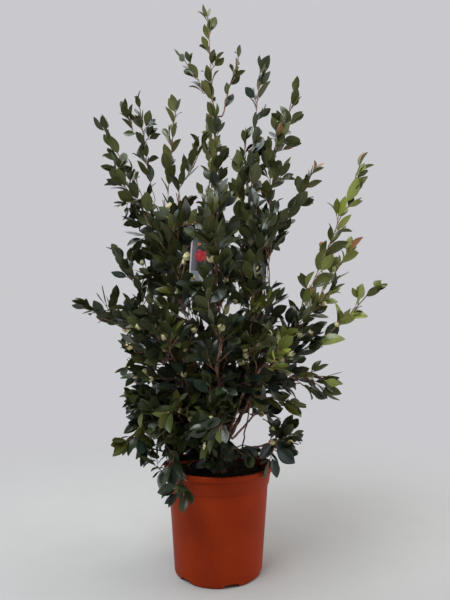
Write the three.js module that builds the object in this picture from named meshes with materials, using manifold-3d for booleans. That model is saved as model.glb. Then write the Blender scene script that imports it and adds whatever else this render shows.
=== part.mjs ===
// A camellia shrub growing in a round plastic nursery pot.
// Millimetres, +Z up. The origin is the centre of the pot's flat underside, +X is the shrub's right
// as it is seen from the front, and -Y is its front.
// A place in the crown is [bearing, reach, height]: bearing in degrees round the pot's axis from +X
// towards +Y, reach outwards from that axis and height above the pot's underside.
import * as THREE from "three";
import { mergeVertices } from "three/addons/utils/BufferGeometryUtils.js";
import Module from "manifold-3d";

const wasm = await Module();
wasm.setup();

// ---- Driving dimensions ----------------------------------------------------------------------
const POT_HEIGHT = 200;
const POT_TOP_RADIUS = 109; // over the rolled lip
const POT_BASE_RADIUS = 86.5;
const POT_WALL = 2.2;
const POT_SEGMENTS = 30;
const LIP_HEIGHT = 10;
const LIP_WIDTH = 5;
const LIP_ROUND = 2;
const COLLAR_HEIGHT = 36; // from the lip's top down to the step under the collar
const COLLAR_RADIUS = 101.5; // at the collar's foot
const COLLAR_FLARE = 3; // how much wider the collar is under the lip
const COLLAR_STEP = 2.8; // how far the collar stands out over the wall
const HEEL = 5; // the rounded edge where wall and base meet
const FOOT_DISC_RADIUS = 52; // the middle of the base, which stands on the ground
const FOOT_RING_WIDTH = 6; // the ring under the wall, which stands on the ground too
const CHANNEL_HEIGHT = 7; // how high the base is raised between disc and ring
const DRAIN_COUNT = 6;
const FIRST_DRAIN_BEARING = 47;
const NOTCH = { width: 30, height: 6.5, depth: 9 };
const SLOT = { width: 8, length: 14 };

const SOIL_TOP = POT_HEIGHT - 18;
const TRUNK_HEIGHT = 52;
const TRUNK_RADIUS = 10.5;
const ROOT_FLARE = 8;
const FORK_HEIGHT = SOIL_TOP + TRUNK_HEIGHT;

const GAP = 0.4; // kept between neighbouring solids
const MASS_FACETS = { sides: 9, rings: 6 };
const SHOOT_FACETS = { sides: 6, rings: 6 };
const LIMB_FACETS = { sides: 6, rings: 5 };
const TRUNK_FACETS = { sides: 10, rings: 5 };

const BARK = { color: 0x6b4a38, roughness: 0.85, metalness: 0 };
const FOLIAGE = { color: 0x2c4020, roughness: 0.5, metalness: 0 };
const YOUNG_FOLIAGE = { color: 0x55632a, roughness: 0.5, metalness: 0 };
const TERRACOTTA_PLASTIC = { color: 0xa8492a, roughness: 0.45, metalness: 0 };
const COMPOST = { color: 0x2b1f17, roughness: 0.95, metalness: 0 };
const LABEL_CARD = { color: 0xb7a9b4, roughness: 0.4, metalness: 0 };

// ---- Small helpers ---------------------------------------------------------------------------
function place([bearing, reach, height]) {
  const angle = THREE.MathUtils.degToRad(bearing);
  return new THREE.Vector3(reach * Math.cos(angle), reach * Math.sin(angle), height);
}

// The geometry's bare shape, with one vertex where several met.
function welded(geometry) {
  const bare = new THREE.BufferGeometry();
  bare.setAttribute("position", geometry.getAttribute("position"));
  if (geometry.index) bare.setIndex(geometry.index);
  return mergeVertices(bare, 1e-3);
}

function toSolid(geometry) {
  const shape = welded(geometry);
  return new wasm.Manifold(
    new wasm.Mesh({
      numProp: 3,
      vertProperties: shape.getAttribute("position").array,
      triVerts: new Uint32Array(shape.index.array),
    }),
  );
}

function toGeometry(solid) {
  const mesh = solid.getMesh();
  const geometry = new THREE.BufferGeometry();
  geometry.setAttribute("position", new THREE.BufferAttribute(mesh.vertProperties, 3));
  geometry.setIndex(new THREE.BufferAttribute(mesh.triVerts, 1));
  geometry.computeVertexNormals();
  return geometry;
}

// The geometry with every point pushed out along its normal.
function grown(geometry, distance) {
  const swollen = welded(geometry);
  swollen.computeVertexNormals();
  const position = swollen.getAttribute("position");
  const normal = swollen.getAttribute("normal");
  for (let i = 0; i < position.count; i++) {
    position.setXYZ(
      i,
      position.getX(i) + normal.getX(i) * distance,
      position.getY(i) + normal.getY(i) * distance,
      position.getZ(i) + normal.getZ(i) * distance,
    );
  }
  return swollen;
}

// The largest piece that is left of a solid once its neighbours are cut from it.
function carved(solid, neighbours) {
  let left = solid;
  for (const neighbour of neighbours) left = left.subtract(neighbour);
  const pieces = left.decompose();
  pieces.sort((a, b) => b.volume() - a.volume());
  return pieces[0];
}

// Closed rings of points along a curve, from a point at its start to a point at its end.
// radius(along, around) gives the distance from the curve, along from 0 to 1, around in radians.
// With flat ends the first and last ring lie at the curve's ends, which are then cut square.
function ringedForm(curve, { sides, rings }, radius, flatEnds) {
  const points = [];
  const triangles = [];
  const reference = new THREE.Vector3(0.31, -0.87, 0.38);
  for (let ring = 0; ring < rings; ring++) {
    const along = flatEnds ? ring / (rings - 1) : (ring + 0.55) / (rings + 0.1);
    const centre = curve.getPoint(along);
    const tangent = curve.getTangent(along);
    const across = reference.clone().cross(tangent).normalize();
    const over = tangent.clone().cross(across);
    for (let side = 0; side < sides; side++) {
      const around = (side / sides) * 2 * Math.PI;
      const r = radius(along, around);
      points.push(
        centre
          .clone()
          .addScaledVector(across, r * Math.cos(around))
          .addScaledVector(over, r * Math.sin(around)),
      );
    }
  }
  const startPole = points.push(curve.getPoint(0)) - 1;
  const endPole = points.push(curve.getPoint(1)) - 1;
  for (let side = 0; side < sides; side++) {
    const next = (side + 1) % sides;
    triangles.push(startPole, next, side);
    triangles.push(endPole, (rings - 1) * sides + side, (rings - 1) * sides + next);
    for (let ring = 0; ring < rings - 1; ring++) {
      const a = ring * sides + side;
      const b = ring * sides + next;
      triangles.push(a, b, b + sides);
      triangles.push(a, b + sides, a + sides);
    }
  }
  const geometry = new THREE.BufferGeometry().setFromPoints(points);
  geometry.setIndex(triangles);
  return geometry;
}

function bowedCurve(start, end, bow) {
  const middle = start.clone().lerp(end, 0.5);
  const outwards = new THREE.Vector3(middle.x, middle.y, 0).normalize();
  middle.addScaledVector(outwards, bow);
  return new THREE.QuadraticBezierCurve3(start, middle, end);
}

const group = new THREE.Group();
group.name = "camellia_shrub";

function addMesh(name, geometry, finish) {
  const mesh = new THREE.Mesh(geometry, new THREE.MeshStandardMaterial(finish));
  mesh.name = name;
  group.add(mesh);
  return mesh;
}

// ---- Pot -------------------------------------------------------------------------------------
// A lathe profile is a list of [radius, height]; the lathe's own axis is turned up to +Z.
function turned(profile, segments) {
  const points = profile.map(([radius, height]) => new THREE.Vector2(radius, height));
  return new THREE.LatheGeometry(points, segments).rotateX(Math.PI / 2);
}

function wallRadius(height) {
  const climb = height / (POT_HEIGHT - COLLAR_HEIGHT);
  return POT_BASE_RADIUS + (COLLAR_RADIUS - COLLAR_STEP - POT_BASE_RADIUS) * climb;
}

function potProfile() {
  const step = POT_HEIGHT - COLLAR_HEIGHT;
  const lipFoot = POT_HEIGHT - LIP_HEIGHT;
  const collarTop = COLLAR_RADIUS + COLLAR_FLARE;
  const ringInside = POT_BASE_RADIUS - FOOT_RING_WIDTH;
  const channelFloor = CHANNEL_HEIGHT + POT_WALL;
  const outside = [
    [0, 0],
    [FOOT_DISC_RADIUS, 0],
    [FOOT_DISC_RADIUS + 4, CHANNEL_HEIGHT],
    [ringInside - 2, CHANNEL_HEIGHT],
    [ringInside, 0],
    [POT_BASE_RADIUS - HEEL / 2, 0],
    [wallRadius(HEEL), HEEL],
    [wallRadius(step), step],
    [COLLAR_RADIUS, step + COLLAR_STEP],
    [collarTop, lipFoot - LIP_ROUND],
    [POT_TOP_RADIUS - LIP_ROUND / 2, lipFoot],
    [POT_TOP_RADIUS, lipFoot + LIP_ROUND],
    [POT_TOP_RADIUS, POT_HEIGHT - LIP_ROUND],
    [POT_TOP_RADIUS - LIP_ROUND, POT_HEIGHT],
    [POT_TOP_RADIUS - LIP_WIDTH, POT_HEIGHT],
  ];
  const inside = [
    [collarTop - POT_WALL, lipFoot],
    [COLLAR_RADIUS - POT_WALL, step + COLLAR_STEP],
    [wallRadius(step) - POT_WALL, step - COLLAR_STEP],
    [wallRadius(channelFloor) - POT_WALL, channelFloor + POT_WALL],
    [ringInside, channelFloor],
    [FOOT_DISC_RADIUS + 3, channelFloor],
    [FOOT_DISC_RADIUS - 1, POT_WALL],
    [0, POT_WALL],
  ];
  return [...outside, ...inside];
}

// Each drain is a notch that opens the wall's foot and a slot through the channel behind it.
function potDrains() {
  const drains = [];
  for (let index = 0; index < DRAIN_COUNT; index++) {
    const bearing = FIRST_DRAIN_BEARING + (index * 360) / DRAIN_COUNT;
    const turn = THREE.MathUtils.degToRad(bearing);
    const notch = new THREE.BoxGeometry(NOTCH.depth, NOTCH.width, 2 * NOTCH.height);
    notch.translate(POT_BASE_RADIUS - NOTCH.depth / 2 + 1, 0, 0);
    const slot = new THREE.BoxGeometry(SLOT.length, SLOT.width, 3 * CHANNEL_HEIGHT);
    slot.translate((FOOT_DISC_RADIUS + POT_BASE_RADIUS) / 2, 0, 0);
    drains.push(toSolid(notch.rotateZ(turn)), toSolid(slot.rotateZ(turn)));
  }
  return drains;
}

function potSolid() {
  return carved(toSolid(turned(potProfile(), POT_SEGMENTS)), potDrains());
}

// The compost fills the pot and follows its wall at a small gap.
function compostGeometry() {
  const clear = 2 * GAP + POT_WALL;
  const step = POT_HEIGHT - COLLAR_HEIGHT;
  const bed = CHANNEL_HEIGHT + POT_WALL + GAP;
  return turned(
    [
      [0, POT_WALL + GAP],
      [FOOT_DISC_RADIUS - 2, POT_WALL + GAP],
      [FOOT_DISC_RADIUS + 2, bed],
      [POT_BASE_RADIUS - FOOT_RING_WIDTH, bed],
      [wallRadius(bed + POT_WALL) - clear, bed + POT_WALL],
      [wallRadius(step) - clear, step - COLLAR_STEP],
      [COLLAR_RADIUS - clear, SOIL_TOP],
      [0, SOIL_TOP],
    ],
    POT_SEGMENTS,
  );
}

// ---- Trunk and boughs ------------------------------------------------------------------------
// The trunk starts a little down in the compost, to be cut off flat at its surface.
function trunkGeometry() {
  const foot = new THREE.Vector3(0, 0, SOIL_TOP - 4);
  const fork = new THREE.Vector3(-2, 1, FORK_HEIGHT);
  const flare = (along) => ROOT_FLARE * Math.exp(-along * 6);
  const buttress = (along, around) => 1 + 0.16 * Math.exp(-along * 4) * Math.sin(4 * around + 0.6);
  const radius = (along, around) => (TRUNK_RADIUS + flare(along)) * buttress(along, around);
  return ringedForm(new THREE.LineCurve3(foot, fork), TRUNK_FACETS, radius, true);
}

const LIMB_TAPER = 0.42; // the share of its thickness that a bough loses on its way

// Each bough leaves the trunk's fork and ends in the foot of the mass of foliage it carries.
const BOUGHS = {
  leader: { end: [180, 6, 520], radius: 6.5, bow: 4, carries: "leader_column" },
  left: { end: [186, 84, 376], radius: 5.5, bow: 10, carries: "waist_left" },
  front_left: { end: [226, 84, 372], radius: 5, bow: 8, carries: "waist_front_left" },
  front: { end: [268, 80, 372], radius: 5, bow: 8, carries: "waist_front" },
  front_right: { end: [312, 84, 372], radius: 5.5, bow: 6, carries: "waist_front_right" },
  right: { end: [352, 84, 376], radius: 5.5, bow: 8, carries: "waist_right" },
  back_right: { end: [54, 84, 376], radius: 5.5, bow: 8, carries: "waist_back_right" },
  back_left: { end: [128, 84, 376], radius: 5.5, bow: 8, carries: "waist_back_left" },
  low_left: { end: [204, 66, 276], radius: 4.2, bow: 6, carries: "skirt_left" },
  low_right: { end: [8, 92, 230], radius: 3.6, bow: 0, carries: "rim_spray_right" },
};

function boughGeometry({ end, radius, bow }) {
  const [bearing] = end;
  const start = place([bearing, 2, FORK_HEIGHT - 16]);
  const curve = bowedCurve(start, place(end), bow);
  return ringedForm(curve, LIMB_FACETS, (along) => radius * (1 - LIMB_TAPER * along), true);
}

// ---- Masses of foliage -----------------------------------------------------------------------
// A mass swells from its foot to its girth and closes at its tip; the girth is reached the given
// way along. Its unevenness comes from two waves round it that follow from its place in the crown.
function massGeometry({ foot, tip, girth, bow = 0, widest = 0.5 }, facets) {
  const [footBearing] = foot;
  const [tipBearing, , tipHeight] = tip;
  const phase = footBearing * 0.37 + tipBearing * 0.11 + tipHeight * 0.023;
  const lean = Math.log(0.5) / Math.log(widest);
  const radius = (along, around) => {
    const swell = Math.sin(Math.PI * along ** lean) ** 0.62;
    const twoLobes = Math.sin(2 * around + phase + 4 * along);
    const threeLobes = Math.sin(3 * around - 1.7 * phase - 9 * along);
    return girth * swell * (1 + 0.13 * twoLobes + 0.09 * threeLobes);
  };
  return ringedForm(bowedCurve(place(foot), place(tip), bow), facets, radius, false);
}

// The crown's body is three tiers of masses, each a ring of sectors round the leader. At the back
// the lowest tier sags towards the pot's rim.
const SECTORS = {
  right: { bearing: 352, spread: 1, lift: 6 },
  front_right: { bearing: 312, spread: 0.98, lift: -8 },
  front: { bearing: 271, spread: 0.94, lift: -2 },
  front_left: { bearing: 226, spread: 1, lift: 4 },
  left: { bearing: 186, spread: 1.06, lift: 10 },
  back_left: { bearing: 128, spread: 1.06, lift: -4, sag: 22 },
  back_right: { bearing: 54, spread: 1.04, lift: 8, sag: 34 },
};
const TIERS = {
  waist: {
    sectors: ["left", "right", "front_left", "front_right", "front", "back_left", "back_right"],
    foot: { reach: 62, height: 342 },
    tip: { reach: 188, height: 500 },
    girth: 72,
    bow: 22,
    widest: 0.5,
  },
  skirt: {
    sectors: ["left", "front_left", "front", "back_left", "back_right"],
    foot: { reach: 40, height: 262 },
    tip: { reach: 176, height: 322 },
    girth: 58,
    bow: 10,
    widest: 0.52,
  },
  shoulder: {
    sectors: ["left", "front_left", "front_right", "right", "back_left", "back_right", "front"],
    foot: { reach: 84, height: 452 },
    tip: { reach: 106, height: 762 },
    girth: 54,
    bow: 24,
    widest: 0.42,
  },
};

function tierMasses() {
  const masses = {};
  for (const [tier, { sectors, foot, tip, ...form }] of Object.entries(TIERS)) {
    for (const sector of sectors) {
      const { bearing, spread, lift, sag = 0 } = SECTORS[sector];
      const drop = tier === "skirt" ? sag : 0;
      masses[`${tier}_${sector}`] = {
        ...form,
        foot: [bearing, foot.reach, foot.height + lift - drop],
        tip: [bearing, tip.reach * spread, tip.height + 2 * lift - drop],
        girth: form.girth * spread,
      };
    }
  }
  return masses;
}

// Leafy shoots that stand clear of the body, each a slender mass of its own.
const SHOOTS = {
  leader_column: { foot: [180, 6, 500], tip: [180, 9, 960], girth: 36, widest: 0.42 },
  leader_tip: { foot: [180, 8, 880], tip: [180, 27, 1186], girth: 22, widest: 0.4 },
  leader_left_twig: { foot: [180, 8, 948], tip: [180, 91, 1081], girth: 14 },
  leader_right_twig: { foot: [0, 4, 918], tip: [2, 50, 1092], girth: 15 },
  crest: { foot: [346, 56, 680], tip: [352, 82, 900], girth: 38, widest: 0.45 },
  right_spire_inner: { foot: [336, 62, 705], tip: [348, 94, 1053], girth: 27, widest: 0.35 },
  right_spire_outer: { foot: [344, 100, 700], tip: [352, 166, 1000], girth: 31, widest: 0.4 },
  side_spire: { foot: [12, 92, 610], tip: [5, 219, 838], girth: 26, bow: 8 },
  far_right_tall: { foot: [358, 136, 440], tip: [358, 308, 840], girth: 28, bow: 14, widest: 0.4 },
  far_right_back: { foot: [10, 144, 436], tip: [13, 318, 676], girth: 32, bow: 8, widest: 0.42 },
  far_right_low: { foot: [350, 166, 400], tip: [354, 336, 574], girth: 24, bow: 8 },
  right_leaf_spray: { foot: [336, 150, 372], tip: [346, 244, 378], girth: 25 },
  right_low_twig: { foot: [322, 80, 340], tip: [340, 178, 318], girth: 23, bow: 8 },
  left_fork_outer: { foot: [184, 120, 690], tip: [180, 262, 928], girth: 24, bow: 10 },
  left_fork_middle: { foot: [176, 124, 700], tip: [178, 178, 984], girth: 25, bow: 10 },
  left_fork_twig: { foot: [178, 176, 880], tip: [179, 216, 968], girth: 14 },
  left_fork_inner: { foot: [170, 112, 700], tip: [178, 92, 972], girth: 21, bow: 6 },
  left_fork_cross: { foot: [190, 104, 690], tip: [188, 30, 892], girth: 25, bow: 0 },
  left_spray_upper: { foot: [198, 130, 656], tip: [190, 228, 818], girth: 28, bow: 6 },
  left_spray_middle: { foot: [190, 130, 516], tip: [186, 214, 636], girth: 28, bow: 6 },
  left_spray_low: { foot: [182, 146, 446], tip: [180, 298, 528], girth: 36, bow: 0 },
  left_skirt_spray: { foot: [204, 112, 320], tip: [194, 208, 226], girth: 38, bow: 8 },
  back_spire: { foot: [110, 88, 650], tip: [100, 96, 1000], girth: 28, widest: 0.4 },
  back_right_spire: { foot: [56, 104, 690], tip: [58, 172, 915], girth: 28 },
  back_spray: { foot: [76, 128, 430], tip: [92, 262, 590], girth: 36 },
  rim_spray_left: { foot: [222, 126, 268], tip: [251, 138, 150], girth: 32, bow: 14 },
  rim_spray_right: { foot: [10, 70, 222], tip: [6, 172, 264], girth: 54, widest: 0.55 },
};

// ---- Label -----------------------------------------------------------------------------------
// A card that narrows upwards to its own strap hangs flat, a little out of plumb.
const LABEL = { foot: [258, 146, 549], turn: -14, lean: 3, width: 42, height: 100 };
const LABEL_CORNER = 6;
const LABEL_SHOULDER = 34;
const LABEL_STRAP = { width: 6, length: 42 };
const LABEL_THICKNESS = 1;

// The label with every side moved outwards by the given distance.
function labelGeometry(outwards = 0) {
  const half = LABEL.width / 2 + outwards;
  const strapHalf = LABEL_STRAP.width / 2 + outwards;
  const shoulder = LABEL.height - LABEL_SHOULDER;
  const strapTop = LABEL.height + LABEL_STRAP.length + outwards;
  const cornerX = half - LABEL_CORNER;
  const cornerY = LABEL_CORNER - outwards;
  const outline = new THREE.Shape();
  outline.moveTo(-half, cornerY);
  outline.absarc(-cornerX, cornerY, LABEL_CORNER, Math.PI, 1.5 * Math.PI);
  outline.absarc(cornerX, cornerY, LABEL_CORNER, 1.5 * Math.PI, 2 * Math.PI);
  outline.lineTo(half, shoulder);
  outline.lineTo(strapHalf, LABEL.height);
  outline.lineTo(strapHalf, strapTop);
  outline.lineTo(-strapHalf, strapTop);
  outline.lineTo(-strapHalf, LABEL.height);
  outline.lineTo(-half, shoulder);
  const depth = LABEL_THICKNESS + 2 * outwards;
  const card = new THREE.ExtrudeGeometry(outline, { depth, bevelEnabled: false, curveSegments: 4 });
  card.translate(0, 0, -depth / 2);
  card.rotateX(Math.PI / 2);
  card.rotateY(THREE.MathUtils.degToRad(LABEL.lean));
  card.rotateZ(THREE.MathUtils.degToRad(LABEL.turn));
  const { x, y, z } = place(LABEL.foot);
  return card.translate(x, y, z);
}

// ---- Assembly --------------------------------------------------------------------------------
// An upright round block from the ground up to the given height.
function block(radius, height) {
  const cylinder = new THREE.CylinderGeometry(radius, radius, height, POT_SEGMENTS);
  cylinder.rotateX(Math.PI / 2);
  return toSolid(cylinder.translate(0, 0, height / 2));
}

addMesh("pot", toGeometry(potSolid()), TERRACOTTA_PLASTIC);
addMesh("compost", compostGeometry(), COMPOST);
const trunk = carved(toSolid(trunkGeometry()), [block(COLLAR_RADIUS, SOIL_TOP + GAP)]);
addMesh("trunk", toGeometry(trunk), BARK);
addMesh("hanging_label", labelGeometry(), LABEL_CARD);

const forms = {};
for (const [name, mass] of Object.entries({ ...tierMasses(), ...SHOOTS })) {
  forms[name] = massGeometry(mass, name in SHOOTS ? SHOOT_FACETS : MASS_FACETS);
}

// The boughs come first and end where they enter the mass they carry; then each mass in turn is
// cut round the trunk, the boughs, the pot, the label and the masses before it.
const keepOuts = [toSolid(grown(trunkGeometry(), GAP))];
for (const [name, bough] of Object.entries(BOUGHS)) {
  const geometry = boughGeometry(bough);
  const carriedMass = toSolid(grown(forms[bough.carries], GAP));
  const limb = carved(toSolid(geometry), [...keepOuts, carriedMass]);
  addMesh(`bough_${name}`, toGeometry(limb), BARK);
  keepOuts.push(toSolid(grown(geometry, GAP)).subtract(carriedMass));
}

// Foliage stays clear of the pot and of the room inside its mouth.
keepOuts.push(block(POT_TOP_RADIUS + GAP, POT_HEIGHT + GAP));
keepOuts.push(toSolid(labelGeometry(GAP)));
for (const [name, form] of Object.entries(forms)) {
  const finish = name in SHOOTS ? YOUNG_FOLIAGE : FOLIAGE;
  addMesh(name, toGeometry(carved(toSolid(form), keepOuts)), finish);
  keepOuts.push(toSolid(grown(form, GAP)));
}

export default group;
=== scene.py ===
"""The looks of a potted camellia shrub, in metres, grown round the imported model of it.

Every limb and foliage mass of the frame is measured first. Leaders then run from the boughs
through the masses, side shoots leave them by a seeded rule, and leaves, buds and twigs follow.
"""
import math
import random

import bmesh
import bpy
import numpy as np
from mathutils import Matrix, Vector, noise
from mathutils.bvhtree import BVHTree


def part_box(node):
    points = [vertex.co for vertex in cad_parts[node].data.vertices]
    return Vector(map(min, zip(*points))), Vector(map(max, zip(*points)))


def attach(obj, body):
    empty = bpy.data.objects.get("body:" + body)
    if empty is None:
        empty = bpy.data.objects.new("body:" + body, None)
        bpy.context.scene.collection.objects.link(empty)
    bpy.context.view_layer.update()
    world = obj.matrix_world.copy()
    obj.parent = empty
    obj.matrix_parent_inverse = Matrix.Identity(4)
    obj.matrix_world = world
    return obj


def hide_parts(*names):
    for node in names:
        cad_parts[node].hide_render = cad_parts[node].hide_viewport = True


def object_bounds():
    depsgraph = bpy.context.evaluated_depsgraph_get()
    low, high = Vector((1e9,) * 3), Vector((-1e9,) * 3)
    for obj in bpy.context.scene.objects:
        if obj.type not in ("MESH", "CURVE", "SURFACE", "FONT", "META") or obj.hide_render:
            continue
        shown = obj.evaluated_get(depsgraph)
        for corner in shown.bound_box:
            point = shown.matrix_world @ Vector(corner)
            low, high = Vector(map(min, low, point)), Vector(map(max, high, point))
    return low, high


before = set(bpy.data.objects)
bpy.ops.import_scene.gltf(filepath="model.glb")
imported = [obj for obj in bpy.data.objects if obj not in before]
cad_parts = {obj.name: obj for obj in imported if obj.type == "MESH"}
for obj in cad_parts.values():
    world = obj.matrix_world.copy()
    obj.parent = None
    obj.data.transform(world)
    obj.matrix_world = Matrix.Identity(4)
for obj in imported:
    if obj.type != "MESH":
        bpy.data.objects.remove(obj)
cad_low, cad_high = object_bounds()

MM = 0.001
UP = Vector((0, 0, 1))
FULL_TURN = 2 * math.pi
GOLDEN_TURN = math.radians(137.5)
SEED = 41
BODY = "root"

NODES = sorted(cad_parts)
BOUGH_NODES = [name for name in NODES if name.startswith("bough_")]
HARD_NODES = ["pot", "compost", "trunk", "hanging_label", *BOUGH_NODES]
MASS_NODES = [name for name in NODES if name not in HARD_NODES]


def linked(name, data):
    """A new object in the scene that shows this data."""
    made = bpy.data.objects.new(name, data)
    bpy.context.scene.collection.objects.link(made)
    return made


def make_camera():
    data = bpy.data.cameras.new("camera")
    data.sensor_width = 36
    data.lens = 27.96
    data.clip_start = 0.05
    camera = linked("camera", data)
    camera.location = (0.013, -0.966, 0.438)
    camera.rotation_euler = (math.radians(95.4), 0, 0)
    bpy.context.scene.camera = camera


make_camera()


# ---- Node trees
class Socket:
    """One output of a node; sums and products of it add Math nodes to its tree."""

    def __init__(self, tree, output):
        self.tree = tree
        self.output = output

    def maths(self, operation, *values):
        return self.tree.node("ShaderNodeMath", {"operation": operation}, dict(enumerate(values)))

    def __add__(self, other):
        return self.maths("ADD", self, other)

    def __sub__(self, other):
        return self.maths("SUBTRACT", self, other)

    def __rsub__(self, other):
        return self.maths("SUBTRACT", other, self)

    def __mul__(self, other):
        return self.maths("MULTIPLY", self, other)

    def __abs__(self):
        return self.maths("ABSOLUTE", self)

    __radd__ = __add__
    __rmul__ = __mul__

    def sine(self):
        return self.maths("SINE", self)

    def root(self):
        return self.maths("SQRT", self)

    def rise(self, low, high):
        """0 below low, 1 above high and smooth between them; falls where low is the higher."""
        settings = {"interpolation_type": "SMOOTHSTEP"}
        inputs = {"Value": self, "From Min": low, "From Max": high}
        return self.tree.node("ShaderNodeMapRange", settings, inputs)


def socket_named(sockets, key):
    if isinstance(key, int):
        return sockets[key]
    exact = [socket for socket in sockets if socket.identifier == key]
    return (exact or [socket for socket in sockets if socket.name == key])[0]


class Tree:
    """A node tree that is written as calls."""

    def __init__(self, tree):
        self.tree = tree

    def node(self, kind, settings=None, inputs=None, output=0):
        """A node's output, or nothing for a node that has none."""
        made = self.tree.nodes.new(kind)
        for name, value in (settings or {}).items():
            setattr(made, name, value)
        for key, value in (inputs or {}).items():
            self.feed(socket_named(made.inputs, key), value)
        return Socket(self, socket_named(made.outputs, output)) if made.outputs else None

    def feed(self, socket, value):
        if isinstance(value, Socket):
            self.tree.links.new(value.output, socket)
        else:
            socket.default_value = value


def colour(value):
    """A plain colour with its alpha, or the socket that carries one."""
    return value if isinstance(value, Socket) else (*value, 1.0)


def toned(base, factor, lift=0.0):
    """A colour made lighter or darker."""
    return tuple(factor * part + lift for part in base)


class Finish(Tree):
    """A material round one Principled shader, patterned on the piece's own coordinates."""

    def __init__(self, name, gloss):
        self.material = bpy.data.materials.new(name)
        self.material.use_nodes = True
        super().__init__(self.material.node_tree)
        self.shader = self.tree.nodes["Principled BSDF"]
        self.shader.inputs["Specular IOR Level"].default_value = gloss

    def place(self):
        return self.node("ShaderNodeTexCoord", output="Object")

    def along(self, axis, source=None):
        return self.node("ShaderNodeSeparateXYZ", None, {0: source or self.place()}, axis)

    def uv(self, axis):
        return self.along(axis, self.node("ShaderNodeUVMap", {"uv_map": "UVMap"}))

    def attribute(self, name):
        return self.node("ShaderNodeAttribute", {"attribute_name": name}, output="Fac")

    def noise(self, scale, detail=3.0, roughness=0.5, stretch=(1, 1, 1)):
        stretched = {0: self.place(), 1: stretch}
        vector = self.node("ShaderNodeVectorMath", {"operation": "MULTIPLY"}, stretched)
        inputs = {"Vector": vector, "Scale": scale, "Detail": detail, "Roughness": roughness}
        return self.node("ShaderNodeTexNoise", None, inputs)

    def mix(self, factor, first, second):
        inputs = {"Factor_Float": factor, "A_Color": colour(first), "B_Color": colour(second)}
        return self.node("ShaderNodeMix", {"data_type": "RGBA"}, inputs, "Result_Color")

    def done(self, shade, roughness, height, distance, strength):
        """The finished material, from its colour, its roughness and the height of its bumps."""
        inputs = {"Height": height, "Distance": distance, "Strength": strength}
        self.feed(self.shader.inputs["Base Color"], shade)
        self.feed(self.shader.inputs["Roughness"], roughness)
        self.feed(self.shader.inputs["Normal"], self.node("ShaderNodeBump", None, inputs))
        return self.material


# ---- Finishes
# Upper side and underside of a leaf, by tint.
TINTS = {
    "deep": ((0.012, 0.021, 0.012), (0.045, 0.053, 0.020)),
    "dark": ((0.020, 0.028, 0.010), (0.058, 0.065, 0.019)),
    "mid": ((0.043, 0.052, 0.011), (0.082, 0.089, 0.020)),
    "olive": ((0.086, 0.091, 0.016), (0.120, 0.123, 0.028)),
    "bright": ((0.190, 0.215, 0.031), (0.220, 0.242, 0.050)),
    "bronze": ((0.290, 0.125, 0.036), (0.310, 0.150, 0.050)),
}


def blade_finish(tint, base):
    """The glossy upper side: leaves differ in tone, with a paler midrib and faint side veins."""
    leaf = Finish(f"leaf_upper_{tint}", 0.5)
    across = abs(leaf.uv("X") - 0.5)
    midrib = across.rise(0.035, 0.008)
    veins = (leaf.uv("Y") * 58.0 - across * 46.0).sine().rise(0.55, 1.0)
    lighter = toned(base, 1.35, 0.004)
    shade = leaf.mix(leaf.attribute("tone"), toned(base, 0.72), lighter)
    if tint == "bronze":
        shade = leaf.mix(leaf.uv("Y").rise(0.2, 0.85), (0.11, 0.125, 0.024), shade)
    shade = leaf.mix(leaf.noise(90.0, 2.0).rise(0.35, 0.75) * 0.35, shade, lighter)
    shade = leaf.mix(veins * 0.10, shade, toned(base, 1.7, 0.006))
    shade = leaf.mix(midrib * 0.55, shade, toned(base, 2.2, 0.02))
    height = leaf.noise(260.0, 2.0) * 0.5 + veins * 0.3 - midrib * 0.8
    return leaf.done(shade, 0.22 + leaf.noise(140.0, 2.0) * 0.20, height, 0.0002, 0.35)


def underside_finish(tint, base):
    """The dull underside, paler than the upper side, with a raised midrib."""
    leaf = Finish(f"leaf_under_{tint}", 0.35)
    midrib = abs(leaf.uv("X") - 0.5).rise(0.04, 0.012)
    shade = leaf.mix(leaf.attribute("tone"), toned(base, 0.75), toned(base, 1.25))
    shade = leaf.mix(midrib * 0.5, shade, toned(base, 1.5, 0.03))
    height = leaf.noise(300.0, 2.0) * 0.5 + midrib
    return leaf.done(shade, 0.52 + leaf.noise(160.0, 2.0) * 0.14, height, 0.00025, 0.4)


def bark_finish(name, shadow, light, moss=0.0):
    """Fissured bark whose streaks run up the stem, paler on its ridges."""
    bark = Finish(name, 0.3)
    streaks = bark.noise(150.0, 5.0, 0.6, (1.0, 1.0, 0.22))
    shade = bark.mix(streaks.rise(0.36, 0.64), shadow, light)
    shade = bark.mix(bark.noise(38.0).rise(0.55, 0.8) * 0.6, shade, toned(light, 1.5, 0.02))
    if moss:
        shade = bark.mix(bark.noise(60.0).rise(0.6, 0.75) * moss, shade, (0.07, 0.085, 0.03))
    height = streaks + bark.noise(700.0, 2.0) * 0.3
    return bark.done(shade, 0.68 + streaks * 0.22, height, 0.001, 0.9)


def bud_finish(name, base, tip, blush):
    """Downy bud scales that pale towards their edges; a few buds blush at the point."""
    bud = Finish(name, 0.35)
    shade = bud.mix(bud.uv("Y").rise(0.0, 0.8), base, tip)
    shade = bud.mix(bud.noise(260.0).rise(0.45, 0.8) * 0.4, shade, toned(base, 0.6))
    point = bud.uv("X").rise(0.55, 1.0) * bud.attribute("tone").rise(0.70, 0.78)
    roughness = 0.5 + bud.noise(300.0, 2.0) * 0.2
    return bud.done(bud.mix(point, shade, blush), roughness, bud.noise(900.0, 2.0), 0.0003, 0.5)


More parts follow.
